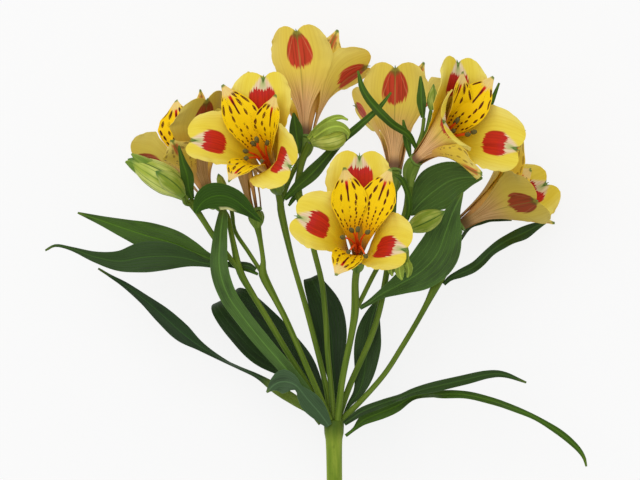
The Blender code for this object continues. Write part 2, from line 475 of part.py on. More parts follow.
def tepal(bloom, outer, angle, row):
    """A tepal, from its claw round the base, through the tube and out to its tip, as a closed blade."""
    base, axis = np.array(bloom["base"]), unit(bloom["axis"])
    right, up = bloom_frame(axis)
    tip, flare, width, roll = np.array(row[:3]), math.radians(row[3]), row[4], math.radians(row[5])
    along, across = OUTER_GRID if outer else INNER_GRID
    first_out = right * math.cos(math.radians(angle)) + up * math.sin(math.radians(angle))
    start = base + first_out * (OUTER_ROOT if outer else INNER_ROOT) + axis * CLAW_START
    last_out = unit(square_to(tip - base, axis))
    far = np.linalg.norm(tip - start)
    claw = math.radians(CLAW_FLARE)
    first_way = axis * math.cos(claw) + first_out * math.sin(claw)
    last_way = axis * math.cos(flare) + last_out * math.sin(flare)
    t = np.linspace(0, 1, TEPAL_STEPS + 1)[:, None]
    curve = bezier(t, start, start + first_way * far * (OUTER_LEAD if outer else INNER_LEAD),
                   tip - last_way * far * TIP_LEAD, tip)
    ahead = np.gradient(curve, axis=0)
    ahead /= np.linalg.norm(ahead, axis=1)[:, None]
    mix = 3 * t ** 2 - 2 * t ** 3
    side = np.cross(first_out * (1 - mix) + last_out * mix, axis)
    side -= ahead * np.sum(side * ahead, axis=1)[:, None]
    side /= np.linalg.norm(side, axis=1)[:, None]
    inward = np.cross(side, ahead)
    cos, sin = np.cos(roll * t), np.sin(roll * t)
    side, inward = side * cos + inward * sin, inward * cos - side * sin
    run = np.append(0, np.cumsum(np.linalg.norm(np.diff(curve, axis=0), axis=1)))
    s = np.linspace(0, 1, along + 1) ** ROW_POWER
    q = np.linspace(-1, 1, across + 1)
    half = np.interp(s, *zip(*(OUTER_WIDTH if outer else INNER_WIDTH))) * width
    # Each tepal is curved across as the circle round the bloom's axis is at its place
    middle = np.column_stack([np.interp(s * run[-1], run, column) for column in curve.T]) - base
    round_axis = np.linalg.norm(middle - np.outer(middle @ axis, axis), axis=1)
    cup = np.clip(0.5 * half / round_axis, LEAST_CUP, MOST_CUP)
    lobes = heart(q) if outer else 0 * q
    place = s[:, None] * (1 + lobes * s[:, None] ** 3)
    grid = np.empty(place.shape + (3,))
    for j, offset in enumerate(q):
        at = np.minimum(place[:, j], 1) * run[-1]
        beyond = np.maximum(place[:, j] - 1, 0) * run[-1]
        spot, forward, sideways, over = (np.column_stack([np.interp(at, run, column) for column in field.T])
                                         for field in (curve, ahead, side, inward))
        reach = half * offset
        rise = cup * half * offset ** 2
        grid[:, j] = spot + forward * beyond[:, None] + sideways * reach[:, None] + over * rise[:, None]
    return slab(grid)


def bloom_pieces(bloom):
    """The plate at a bloom's base with its three outer and three inner tepals."""
    base, axis = np.array(bloom["base"]), unit(bloom["axis"])
    ends = [np.append(base + axis * height, DISC_RADIUS) for height in (DISC_LOW, DISC_HIGH)]
    pieces = [tube(np.array(ends), DISC_SIDES)]
    angles = claw_angles(bloom)
    for whorl in ("outer", "inner"):
        for angle, row in zip(angles[whorl], bloom[whorl]):
            pieces.append(tepal(bloom, whorl == "outer", angle, row))
    return pieces


def stamen_pieces(bloom, draw):
    """A short column with six filaments that lean towards the lowest inner tepal, each with its anther."""
    base, axis = np.array(bloom["base"]), unit(bloom["axis"])
    low = unit(square_to(np.array(bloom["inner"][2][:3]) - base, axis))
    other = np.cross(axis, low)
    foot = base + axis * (DISC_HIGH + GAP)
    column = [np.append(foot, COLUMN_RADIUS),
              np.append(base + axis * (COLUMN_TOP - COLUMN_NECK), COLUMN_RADIUS),
              np.append(base + axis * COLUMN_TOP, COLUMN_HEAD)]
    pieces = [tube(np.array(column), COLUMN_SIDES)]
    for far, angle, height, root_angle in ANTHERS:
        around = math.radians(angle + draw.uniform(-ANTHER_TURN, ANTHER_TURN))
        out = low * math.cos(around) + other * math.sin(around)
        start = math.radians(root_angle)
        from_axis = (low * math.cos(start) + other * math.sin(start)) * FILAMENT_RING
        root = base + axis * (COLUMN_TOP - FILAMENT_SINK) + from_axis
        rise = height + draw.uniform(-ANTHER_SHIFT, ANTHER_SHIFT)
        tip = base + axis * rise + out * far * bloom["spread"]
        length = np.linalg.norm(tip - root)
        last_way = axis * LAST_RISE + out * LAST_LEAN * bloom["spread"]
        shares = np.array([0, FILAMENT_MIDDLE] + [1 - swell / length for swell in ANTHER_SWELL] + [1])
        curve = bezier(shares[:, None], root, root + axis * length / 2, tip - last_way * length, tip)
        radii = [FILAMENT_RADIUS] * 3 + [ANTHER_RADIUS] * 2 + [FILAMENT_RADIUS]
        pieces.append(tube(np.column_stack([curve, radii]), FILAMENT_SIDES))
    return pieces


def ovary(bloom):
    """The ovary: it swells from inside its stalk's end and curves to the bloom's axis, under its plate."""
    axis = unit(bloom["axis"])
    foot = np.array(bloom["ovary"])
    top = np.array(bloom["base"]) + axis * (DISC_LOW - GAP)
    knee = top - axis * OVARY_BEND * np.linalg.norm(top - foot)
    foot = foot - unit(knee - foot) * OVARY_SINK
    t = np.array(OVARY_PLACES)[:, None]
    curve = (1 - t) ** 2 * foot + 2 * (1 - t) * t * knee + t ** 2 * top
    curve = np.vstack([curve, top - axis * OVARY_NECK, top])
    return tube(np.column_stack([curve, OVARY_RADII]), OVARY_SIDES)


def ray_pieces(name, runs):
    """A ray with its side branches, and the ovary under each bloom that it bears."""
    pieces = []
    for number, run in enumerate(runs):
        length = np.sum(np.linalg.norm(np.diff(np.array(run)[:, :3], axis=0), axis=1))
        line = smooth(run, max(3, math.ceil(length / RAY_RING_SPACING)))
        if number == 0:
            # The foot stands square on the top of the stalk
            line = np.insert(line, 1, line[0] + (0, RAY_FOOT, 0, 0), axis=0)
        pieces.append(tube(line, RAY_SIDES))
    pieces += [ovary(bloom) for bloom in BLOOMS.values() if bloom["ray"] == name]
    return pieces


def all_pieces():
    """Every node of the model: its name, its kind and the closed pieces it is joined from."""
    nodes = [("main_stem", "stem", [tube(np.array(STEM, float), STEM_SIDES)])]
    nodes += [(name, "ray", ray_pieces(name, runs)) for name, runs in RAYS.items()]
    nodes += [(name, "leaf", [blade(rows, steps, twist)]) for name, (steps, twist, rows) in LEAVES.items()]
    for name, (rows, tip) in BUDS.items():
        nodes.append((name, "bud", [tube(smooth(rows, BUD_RINGS), BUD_SIDES, tip)]))
    for letter, bloom in BLOOMS.items():
        nodes.append((f"bloom_{letter}", "bloom", bloom_pieces(bloom)))
        if bloom["spread"]:
            draw = random.Random(f"{SEED}{letter}")
            nodes.append((f"stamens_{letter}", "stamens", stamen_pieces(bloom, draw)))
    return nodes


def finish(kind):
    """The material of one kind of piece."""
    if kind in bpy.data.materials:
        return bpy.data.materials[kind]
    colour, roughness = FINISHES[kind]
    material = bpy.data.materials.new(kind)
    material.use_nodes = True
    shader = material.node_tree.nodes["Principled BSDF"]
    shader.inputs["Base Color"].default_value = (*colour, 1)
    shader.inputs["Roughness"].default_value = roughness
    shader.inputs["Metallic"].default_value = 0
    material.diffuse_color = (*colour, 1)
    return material


def solid(name, piece, shift):
    """One closed piece as an object, in metres."""
    points, faces = piece
    mesh = bpy.data.meshes.new(name)
    mesh.from_pydata(((points - shift) * MM).tolist(), [], faces)
    thing = bpy.data.objects.new(name, mesh)
    bpy.context.scene.collection.objects.link(thing)
    return thing


def join(thing, others, solver):
    """Fuses the other pieces into the first one and removes them."""
    group = bpy.data.collections.new(thing.name + "_parts")
    for other in others:
        group.objects.link(other)
    union = thing.modifiers.new("union", "BOOLEAN")
    union.operation = "UNION"
    union.operand_type = "COLLECTION"
    union.collection = group
    union.solver = solver
    bpy.context.view_layer.objects.active = thing
    bpy.ops.object.modifier_apply(modifier=union.name)
    for other in others:
        bpy.data.objects.remove(other)
    bpy.data.collections.remove(group)


def build():
    """Makes every node, centred over the origin.

    The exact solver can leave loose slivers where the thin claws of a bloom cross its plate, so the blooms
    are joined by the manifold solver, which keeps each one whole.
    """
    for thing in list(bpy.data.objects):
        bpy.data.objects.remove(thing)
    nodes = all_pieces()
    points = np.vstack([points for _, _, pieces in nodes for points, _ in pieces])
    low, high = points.min(axis=0), points.max(axis=0)
    shift = np.array(((low[0] + high[0]) / 2, (low[1] + high[1]) / 2, low[2]))
    for name, kind, pieces in nodes:
        things = [solid(name if n == 0 else f"{name}_{n}", piece, shift) for n, piece in enumerate(pieces)]
        if len(things) > 1:
            join(things[0], things[1:], "MANIFOLD" if kind == "bloom" else "EXACT")
        things[0].data.materials.clear()
        things[0].data.materials.append(finish(kind))
        things[0].data.shade_smooth()
        things[0].data.set_sharp_from_angle(angle=math.radians(SHARP_ANGLE))


build()
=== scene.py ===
"""The looks of a cut alstroemeria stem that lies on a pale surface and is seen from straight above.

The stalk, rays, leaves, buds, blooms and stamens of the frame are each replaced by a finer piece made from
the same lines and widths. In the tables all lengths are millimetres: x runs to the right and y along the
stalk from the whorl at its top, and z is the height above the surface.
"""

import math
import random

import bpy
import numpy as np
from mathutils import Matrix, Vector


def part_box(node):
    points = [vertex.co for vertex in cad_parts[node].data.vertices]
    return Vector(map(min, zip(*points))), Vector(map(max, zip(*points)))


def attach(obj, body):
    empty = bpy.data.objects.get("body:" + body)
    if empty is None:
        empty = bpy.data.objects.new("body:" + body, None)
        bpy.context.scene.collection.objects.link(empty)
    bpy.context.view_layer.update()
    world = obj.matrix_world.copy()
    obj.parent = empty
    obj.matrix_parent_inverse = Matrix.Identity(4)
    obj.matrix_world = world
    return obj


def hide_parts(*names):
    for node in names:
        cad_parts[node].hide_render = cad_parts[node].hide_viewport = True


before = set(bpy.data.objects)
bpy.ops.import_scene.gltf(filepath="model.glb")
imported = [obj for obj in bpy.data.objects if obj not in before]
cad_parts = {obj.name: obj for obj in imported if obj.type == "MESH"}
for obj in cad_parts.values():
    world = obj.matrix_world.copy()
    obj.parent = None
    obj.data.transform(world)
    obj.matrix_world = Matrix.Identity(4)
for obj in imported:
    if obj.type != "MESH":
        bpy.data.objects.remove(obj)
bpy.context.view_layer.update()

MM = 0.001
SEED = 7

# The photograph's frame in pixels, the camera's height, the millimetres that one pixel shows at the whorl's
# height, the pixel at which the whorl shows, the width of the camera's sensor and, in metres, how far it sees
PICTURE = (640, 480)
CAMERA_HEIGHT = 3000
PIXEL = 0.42
WHORL_PIXEL = (334, 421)
SENSOR = 36
FAR_LIMIT = 20

# The gap between neighbouring pieces
GAP = 0.3

# The plate each bloom's tepals grow from: its radius, how long its bevels are, its radii below and above
# them, and where its lower and upper side lie from the bloom's base
DISC_RADIUS = 3.1
DISC_BEVEL = 0.3
DISC_FOOT = 2.6
DISC_HEAD = 2.4
DISC_LOW = -0.6
DISC_HIGH = 1.0

# Claws: how far from the bloom's axis the outer and inner ones stand, how high over the bloom's base they
# start, and the angle from the axis at which they leave the plate
OUTER_ROOT = 2.7
INNER_ROOT = 1.5
CLAW_START = 0.3
CLAW_FLARE = 9

# Points of a curve between two rows of a table, and along a tepal, before it is cut into even steps
SPAN_STEPS = 12
TEPAL_STEPS = 40

# A direction that no stem runs along, from which the corners of its rings are counted
SKEW = (0.13, 0.31, 0.94)

# Half width of a tepal at shares of its length
OUTER_WIDTH = ((0, 1.8), (0.15, 2.2), (0.3, 4.0), (0.45, 7.6), (0.6, 11.4), (0.74, 13.9), (0.85, 13.6),
               (0.93, 12.7), (1, 11.4))
INNER_WIDTH = ((0, 1.1), (0.2, 1.5), (0.35, 3.0), (0.5, 5.4), (0.62, 7.3), (0.7, 7.7), (0.78, 6.7),
               (0.86, 4.6), (0.93, 2.2), (1, 0.5))

# Each anther's distance from the bloom's axis, its angle from the lowest inner tepal, its height over the
# bloom's base and the angle of its filament's root; then how far chance turns it in degrees and moves it in
# height
ANTHERS = ((13.6, 6, 33, 0), (14.3, 36, 31, 60), (0.8, 180, 30, 180), (8, -35, 28, 300), (5, 110, 27, 120),
           (3.6, -90, 26, 240))
ANTHER_TURN = 8
ANTHER_SHIFT = 1
ANTHER_RADIUS = 1.05
FILAMENT_RADIUS = 0.45
# The factors on a filament's radius at its root and its end, and how far it reaches into its anther
FILAMENT_TAPER = (1.15, 0.8)
FILAMENT_REACH = 0.02
# An anther's form: how full its ends are and at what share of its half length they are cut, how flat it is,
# and how deep and wide its furrows are
ANTHER_ENDS = 0.4
ANTHER_CUT = 0.98
ANTHER_FLAT = 0.14
FURROW_DEPTH = 0.22
FURROW_WIDTH = 0.25
# How a filament's end rises along the bloom's axis and leans out from it, as shares of its length
LAST_RISE = 0.24
LAST_LEAN = 0.18
# How long an anther is, over the last stretch of its filament's line
ANTHER_LONG = 3.6

# The column that bears the filaments: its radius below and at its head, its height, how long its head is,
# and how far from the axis the filaments stand and how deep they are sunk
COLUMN_RADIUS = 0.75
COLUMN_HEAD = 1.45
COLUMN_TOP = 9.0
COLUMN_NECK = 2.0
FILAMENT_RING = 1.05
FILAMENT_SINK = 0.5

# The stalk, from its cut end to the whorl: x, y, z and radius
STEM = ((0.3, -235, 3.7, 3.7), (0.8, -205, 3.6, 3.6), (1.2, -160, 10, 3.5), (1, -110, 21, 3.4),
        (0.6, -60, 35, 3.3), (0.2, -25, 45, 3.3), (0, -9, 49, 3.5), (0, -5, 50, 4.1), (0, 0, 50, 4.3))
# The low dome on the whorl, and how many sides the stalk of the frame has
WHORL_DOME = ((0, 0.3, 50, 4.15), (0, 0.6, 50, 3.6), (0, 0.8, 50, 2.6), (0, 0.85, 50, 1.2))
STEM_SIDES = 10

# The rays, each with its side branches: x, y, z and radius
RAYS = {
    "ray_1": (
        ((-3.1, 0.4, 50, 1.4), (-9, 12, 51, 1.3), (-19, 28, 52, 1.3), (-26.5, 40.7, 52.5, 1.3),
         (-34, 53, 52.5, 1.3), (-39.5, 63, 52, 1.6), (-42.6, 76, 48, 1.2), (-45, 86, 43.5, 1.2),
         (-49.5, 90.5, 39, 1.6)),
        ((-39.6, 63.2, 52, 1.1), (-45, 70, 52, 1.2), (-50.5, 77.5, 52, 1.2), (-56, 86, 51, 1.3),
         (-60.5, 92.5, 51, 1.8)),
        ((-59.4, 90.8, 51.2, 0.9), (-62.3, 91.4, 54.6, 0.9), (-63, 94, 58.4, 1.0))),
    "ray_2": (
        ((-1.55, 0.4, 52.7, 1.4), (-8, 15, 53.5, 1.3), (-19.3, 40.7, 52, 1.3), (-24.4, 50.8, 51, 1.4),
         (-29.8, 61.5, 50, 1.9), (-29.7, 67, 50, 1.1), (-31, 76, 51, 1.1), (-32.2, 82, 51.3, 1.6)),
        ((-29.5, 61, 50, 0.9), (-36, 71, 46, 0.9), (-41.8, 80, 41, 0.9), (-43, 88, 41, 0.9),
         (-45.8, 95.5, 43, 0.9))),
    "ray_3": (
        ((-1.55, 0.4, 47.3, 1.4), (-3.5, 15, 47, 1.2), (-11, 44.9, 46, 1.2), (-17.4, 67.2, 46, 1.2),
         (-21.8, 86, 47, 1.6), (-22.6, 92, 47.5, 1.5), (-23.3, 95.8, 50, 1.5)),
        ((-22.4, 91, 47.4, 1.0), (-20, 98.5, 47, 1.1), (-16.5, 106, 48, 1.1), (-13.5, 110.5, 49.5, 1.3))),
    "ray_4": (
        ((0, 0.4, 50, 1.4), (-1, 12, 50, 1.2), (-2.6, 28, 49, 1.2), (-3.4, 42.4, 49, 1.2),
         (-5, 57.5, 49, 1.2), (-8, 70, 49, 1.2), (-12, 86, 49, 1.3), (-15, 96, 49.3, 1.7),
         (-14.5, 104, 52, 1.4), (-12.8, 111, 55, 1.6), (-10.5, 116, 56.3, 1.8)),),
    "ray_5": (
        ((1.55, 0.4, 52.7, 1.4), (3.4, 17, 55, 1.4), (7.2, 36, 60, 1.4), (8.8, 46.6, 63, 1.7),
         (8.8, 58, 66, 1.5), (9.5, 64, 69.5, 1.6)),
        ((8.9, 46.5, 63, 1.0), (11.3, 51, 62, 1.0), (17.6, 63.4, 59, 1.0), (24, 73, 57.5, 1.0),
         (30.6, 80, 59.8, 1.2)),
        ((26.5, 75.9, 57.6, 0.8), (29.2, 76.2, 59.8, 0.8), (29.7, 74.6, 62.6, 0.9))),
    "ray_6": (
        ((1.55, 0.4, 47.3, 1.4), (6.7, 15, 48, 1.3), (15.1, 34, 49, 1.3), (19.3, 47.5, 50, 1.3),
         (22.3, 63.4, 50, 1.3), (23.7, 73, 50, 1.5), (24.8, 87, 47.5, 1.3), (25.2, 97, 46.8, 1.5)),
        ((23.5, 72, 50, 1.3), (28.2, 82, 54, 1.4), (30.6, 90, 56, 1.5), (31.5, 98.5, 57, 1.6)),
        ((31, 94, 56.4, 1.0), (31.7, 101, 52.4, 1.0), (33.5, 108, 50.5, 1.1), (35, 114, 51, 1.3),
         (37, 121, 51, 0.8), (37.7, 126.6, 50.6, 0.8)),
        ((34.6, 113, 51, 0.8), (38.6, 121, 50, 0.8), (40.6, 129.8, 50, 0.8))),
    "ray_7": (
        ((3.1, 0.4, 50, 1.4), (12.3, 9.5, 50, 1.2), (21.4, 20, 50, 1.15), (28.5, 31, 49, 1.15),
         (34.8, 41.5, 48, 1.15), (39.2, 49.5, 47, 1.3), (43, 57, 45.5, 1.9), (47.5, 64, 43, 1.5),
         (49.8, 71, 39.4, 1.6), (50, 76.8, 36.2, 1.6)),),
}

# The ovaries: how deep one is sunk in its stalk, the share of its length where it bends, the shares of the
# bend at which its first rings stand, the length of its straight neck, and its radii from foot to top
OVARY_SINK = 1.5
OVARY_BEND = 0.45
OVARY_PLACES = (0, 0.3, 0.6)
OVARY_NECK = 0.7
OVARY_RADII = (1.3, 2.6, 3.2, 3.0, 2.7)

# The blooms: the ray that bears each, where its ovary starts, its base and axis, how far its stamens spread
# (none show in the half open bloom h), and for each tepal the tip's place, its last angle from the axis, a
# factor on its width and its roll
BLOOMS = {
    "a": dict(ray="ray_5", ovary=(9.6, 63.8, 69.6), base=(9.7, 68, 76),
              axis=(0, 0.44, 0.9), spread=1.0,
              outer=((10.5, 110.5, 84, 66, 1, 0), (-14.9, 85.8, 96, 82, 1, 0), (29.2, 72, 98, 84, 1, 0)),
              inner=((4.2, 106, 94, 55, 1, 0), (23.3, 105.4, 94, 55, 1, 0), (0.6, 61.4, 108, 84, 0.85, 0))),
    "b": dict(ray="ray_3", ovary=(-23.4, 96.4, 50.8), base=(-25, 101, 57),
              axis=(-0.25, 0.58, 0.775), spread=0.9,
              outer=((-29.6, 143.4, 70, 66, 1, 0), (-58.8, 117.6, 76, 78, 1, 0),
                     (-18.2, 106.3, 97, 84, 1, -40)),
              inner=((-46.6, 140.7, 74, 60, 1, 0), (-24.2, 136.4, 81, 52, 1, 0),
                     (-43.6, 100.2, 94, 80, 0.9, 0))),
    "c": dict(ray="ray_3", ovary=(-12.9, 111.4, 49.4), base=(-11.8, 118.5, 46),
              axis=(0.02, 0.86, -0.5), spread=0.3,
              outer=((-15.8, 163.6, 46, 50, 0.93, 0), (13.6, 149.5, 26, 58, 1, 12), (-34, 140, 14, 56, 1, 0)),
              inner=((1.6, 164.8, 31, 30, 1, 60), (-24, 156, 22, 30, 1, 0), (-6, 146, 8, 40, 1, 0))),
    "d": dict(ray="ray_6", ovary=(25.3, 97.6, 46.7), base=(25.5, 104.5, 43),
              axis=(0.03, 0.87, -0.49), spread=0.3,
              outer=((25.8, 148.2, 43, 50, 1, 0), (9.4, 133, 6, 40, 0.9, -40), (45.5, 137, 15, 56, 1, 0)),
              inner=((38, 151.2, 30, 30, 1, 0), (15, 146, 22, 30, 1, 0), (27, 132, 11, 40, 1, 0))),
    "e": dict(ray="ray_6", ovary=(31.6, 99.2, 57), base=(34.5, 109.6, 62),
              axis=(0.565, 0.55, 0.613), spread=0.65,
              outer=((51.5, 149.4, 78, 60, 1, 0), (75.5, 114, 76, 70, 1.05, -30),
                     (45.5, 125, 97, 68, 0.95, 24)),
              inner=((66.4, 144, 76, 55, 1, 0), (53.5, 146, 84, 45, 1, 0), (61.5, 103.5, 88, 46, 1.3, 60))),
    "f": dict(ray="ray_7", ovary=(50, 76.6, 36.4), base=(53.2, 82.5, 33),
              axis=(0.815, 0.57, -0.07), spread=0.4,
              outer=((84.8, 92.5, 58, 54, 1, 0), (90.5, 100, -1.5, 8, 1, 0), (72, 118, 16, 60, 1, 0)),
              inner=((80.5, 122.5, 38, 36, 1, 0), (93, 83.5, 40, 40, 1, 0), (84, 106, 12, 36, 1, 0))),
    "g": dict(ray="ray_1", ovary=(-50, 91, 38.6), base=(-53, 94.5, 35),
              axis=(-0.45, 0.85, -0.2), spread=0.35,
              outer=((-84, 110.8, 20, 45, 1, -50), (-53.5, 134.5, 54, 55, 1, 0), (-52, 130, -3, -8, 1, 0)),
              inner=((-67, 135.5, 15, 40, 1, -10), (-56.5, 139.5, 40, 24, 1, 0), (-68, 118, 59, 50, 1, 0))),
    "h": dict(ray="ray_2", ovary=(-32.3, 82.4, 51.4), base=(-33.2, 88.5, 51),
              axis=(-0.22, 0.96, -0.1), spread=None,
              outer=((-45.4, 129.4, 55.5, 34, 0.54, 0), (-42.2, 127.8, 38, 34, 0.54, 0),
                     (-31.4, 131.6, 47, 34, 0.54, 0)),
              inner=((-47, 131, 47, 24, 0.45, 0), (-39, 133.4, 41.6, 24, 0.45, 0),
                     (-39, 133.6, 52, 24, 0.45, 0))),
}
# A tepal's line runs straight from its claw over the first of these shares of its length, and straight into
# its tip over the last
OUTER_LEAD = 0.40
INNER_LEAD = 0.50
TIP_LEAD = 0.36
# How much closer a tepal's rows stand towards its tip, and how much it is cupped for its distance from the
# axis, with the least and the most that it ever is
ROW_POWER = 0.9
CUP = 0.5
LEAST_CUP = 0.1
MOST_CUP = 0.45

# The leaves: the midrib as x, y, z and the half width that shows from above
LEAVES = {
    "leaf_1": (
        (-32, 61.6, 48, 0.6), (-36, 63.4, 46.6, 0.9), (-44, 65.6, 46, 1.0), (-53, 68.5, 45.5, 2.2),
        (-60, 71.5, 45, 4.2), (-68, 74.8, 44, 5.6), (-78, 77.6, 43, 5.8), (-88, 80.8, 42, 4),
        (-98, 84.2, 41, 2), (-108, 87.5, 40, 0.4)),
    "leaf_2": (
        (-32.9, 63.5, 49.3, 0.8), (-36, 65.2, 48.6, 1.4), (-42, 65.8, 48.2, 1.2), (-50, 65.6, 47.8, 1.3),
        (-56, 66.6, 47.5, 1.8), (-62, 68.2, 47.6, 3.6), (-70, 69.2, 48, 5.8), (-80, 68.8, 48, 6.5),
        (-90, 67.2, 47, 4.4), (-100, 68.8, 46, 2.4), (-110, 72.2, 45, 0.9), (-117, 73.7, 44.5, 0.6),
        (-121.5, 71.6, 43, 0.4)),
    "leaf_3": (
        (-5.6, -1.2, 50.5, 1.0), (-9, 4, 52, 1.8), (-16, 8.5, 52, 2.2), (-24, 13.5, 51, 2.2),
        (-32, 18.8, 49.5, 1.1), (-40, 22.5, 48, 0.8), (-48, 26.5, 46, 0.9), (-56, 31.3, 44, 1.9),
        (-64, 37, 42, 3.9), (-72, 44.2, 40, 3.6), (-80, 51, 38.5, 2.2), (-88, 57, 37, 1.3),
        (-94, 60.6, 36, 0.7), (-99.5, 64, 35, 0.4)),
    "leaf_4": (
        (-3, -1, 45.4, 1.2), (-5.5, 8, 43, 2.2), (-9.4, 15.6, 40.5, 4.6), (-15.9, 23.5, 38.5, 7.6),
        (-27, 32, 37, 10.8), (-36, 41, 36.5, 10.6), (-42, 47.5, 34.5, 9.6), (-45, 51, 30.5, 7.6),
        (-45, 51.5, 25.5, 4.5), (-42.5, 49, 22, 0.6)),
    "leaf_5": (
        (-4.2, -1, 53.6, 1.2), (-7, 5, 55.5, 1.6), (-12, 12.5, 56.5, 2.4), (-20, 22, 57, 2.9),
        (-30, 33.5, 57, 3.3), (-38, 43.5, 57, 3.4), (-44.5, 53, 57.5, 3.7), (-48, 64, 58, 3.8),
        (-47.8, 76, 56, 3.1), (-46.8, 86, 50, 2.1), (-46.5, 90, 47, 1)),
    "leaf_6": (
        (-58, 87.4, 53.4, 0.8), (-57.2, 89.4, 55, 2), (-54.5, 92.5, 57.4, 4.6), (-50.5, 94.5, 59.8, 6.4),
        (-46, 94.7, 61.4, 6.9), (-41.5, 93, 62, 6), (-37, 89.5, 61.6, 4), (-33, 86, 60.6, 2),
        (-29.7, 83.3, 59.6, 0.4)),
    "leaf_8": (
        (0, -1.2, 44.6, 1.2), (0.5, 6, 43, 1.6), (0.5, 14, 41, 2.2), (-0.5, 25, 40, 4.4), (-1.3, 36, 39, 6.8),
        (-3.6, 47, 38, 6.9), (-8, 56.5, 36.5, 4.6), (-9.6, 60, 33.5, 3.2), (-9, 58, 30, 2.4),
        (-7, 53, 27, 0.5)),
    "leaf_9": (
        (3.6, -1, 46, 0.9), (6, 6, 44.3, 0.9), (10.4, 12.2, 44, 2.3), (12.8, 20, 43, 4.2),
        (14, 30, 42.5, 5.6), (14.8, 38, 42, 5), (16.4, 45, 42, 3), (18.6, 51, 42.5, 0.5)),
    "leaf_10": (
        (-2.2, -1.8, 55, 1.4), (-6.2, 3.8, 58, 3.6), (-9.9, 8, 60.5, 4.3), (-12.9, 11.7, 62.5, 3),
        (-14.9, 14.3, 63.5, 1.6), (-17.4, 16.1, 63.5, 3.6), (-20.8, 16.8, 62.5, 5.1),
        (-23.7, 16.2, 61, 4.1), (-26, 14.6, 60, 2), (-28.2, 12.2, 59, 0.4)),
    "leaf_11": (
        (4.9, -6.2, 49, 0.7), (8.5, -3.4, 49, 0.8), (12.6, 0.5, 48.5, 2.2), (20, 3.6, 48, 2.8),
        (26, 6, 47, 2.5), (34, 10.2, 46, 1.3), (45, 10.9, 45, 1.8), (55, 10.9, 44, 1.6),
        (65, 8.6, 43, 1.5), (75, 5.2, 41.5, 1.5), (85, 1, 40, 1.1), (95, -5.1, 38, 1.4),
        (102, -11, 36, 1.2), (105.4, -15.5, 35, 0.8), (106.6, -19.6, 34, 0.4)),
    "leaf_12": (
        (4.4, -1, 52.7, 1), (8, 1.6, 54, 1.4), (12, 4.2, 54, 1.8), (20, 7.2, 53, 1.6), (28, 9.8, 52, 1.6),
        (34, 12.2, 51.5, 1.7), (45, 14.9, 50, 2.1), (55, 17.2, 48, 2.2), (65, 19.5, 46, 1.7),
        (72, 19.3, 44.5, 1.2), (81, 16, 42, 0.4)),
    "leaf_13": (
        (10.9, 47.6, 61.5, 0.9), (15, 50, 58, 1.2), (20, 53.4, 55, 2), (28, 57.6, 52.5, 4.6),
        (36.5, 62.8, 51, 8), (43.2, 70, 50, 9), (46.8, 79, 50.6, 7.2), (49.8, 87.5, 52.2, 3.4),
        (54, 96, 53, 0.4)),
    "leaf_14": (
        (32, 86.6, 54.2, 0.8), (36, 91.3, 50.8, 5.6), (42, 96.5, 47.5, 9.4), (49, 101, 46, 8.4),
        (56, 102.4, 45.5, 5), (62.5, 102, 45, 0.5)),
    "leaf_15": (
        (46.2, 57.4, 44.9, 0.8), (49, 60, 44.5, 1.2), (54, 62.2, 43, 1.9), (60, 65.2, 41, 2.2),
        (66, 71.2, 39, 2), (73, 75.6, 35, 2.5), (80, 78.8, 30, 2.8), (86, 82, 27, 1.6), (90, 83.5, 25, 0.4)),
    "leaf_16": (
        (34.6, 114.4, 52.5, 0.7), (31, 120.4, 54.6, 1.4), (24.5, 124.6, 56, 1.7), (17.2, 131.8, 56.5, 1.8),
        (12.2, 139, 56, 1.4), (10, 147, 55, 0.4)),
    "leaf_17": (
        (-20.6, 93.2, 50, 0.8), (-15.8, 98, 53.5, 2), (-9.5, 103.8, 53, 3), (-4, 109.8, 51, 2.3),
        (3, 117.6, 49.5, 1.7), (9, 122.6, 50.5, 1.6), (14, 127, 52, 1.4), (19, 131.6, 52.3, 1),
        (24, 138, 52, 0.4)),
    "leaf_18": (
        (-14.9, 112.4, 54.8, 0.8), (-15.4, 117, 54, 2.2), (-16, 122.5, 52.5, 2.8), (-17, 129.5, 50, 0.4)),
    "leaf_19": (
        (37.3, 127.4, 51.8, 0.8), (36.7, 134, 52.4, 2), (36.5, 140, 52, 1.3), (36.3, 144.8, 51.4, 0.4)),
    "leaf_20": (
        (36.9, 113.8, 50, 0.7), (45, 117.6, 49, 1.3), (56, 123.6, 49, 1.5), (64.6, 131.4, 49, 1.3),
        (69.4, 142, 50, 0.4)),
    "leaf_21": (
        (32, 111, 50, 0.6), (30.6, 118, 50, 1.5), (29, 126.5, 50, 0.4)),
    "leaf_22": (
        (28.4, 80.6, 56.6, 0.8), (31.4, 88, 59, 1.2), (31, 95, 60.8, 1.3), (28.6, 101, 59.8, 1.2),
        (25, 103.6, 56, 0.4)),
    "leaf_23": (
        (-59.5, 93.4, 53.2, 0.9), (-61, 98, 56, 2.2), (-61.6, 103, 58.4, 2.7), (-63.4, 109, 60.4, 1.5),
        (-65, 115.5, 62, 0.4)),
    "leaf_24": (
        (-15.2, 95.3, 47.55, 0.7), (-17, 93.4, 46.6, 1), (-19, 90.4, 45.6, 0.5)),
    "leaf_25": (
        (53.4, 76, 34.6, 0.6), (57.4, 81.4, 26, 0.9), (63, 84, 21.5, 1.4), (69, 85, 19, 1.3),
        (75.5, 84.4, 17.5, 0.4)),
}
# Where leaves twist: shares of the length, and degrees there
LEAF_TWISTS = {
    "leaf_3": ((0.2, 0), (0.4, 70), (0.6, 0)),
    "leaf_11": ((0.25, 0), (0.35, 55), (0.45, 0), (0.6, 40), (0.8, 0)),
    "leaf_12": ((0.1, 0), (0.3, 50), (0.5, 30), (0.9, 0)),
    "leaf_15": ((0.2, 0), (0.3, 35), (0.42, -25), (0.6, 20), (0.8, 0)),
}
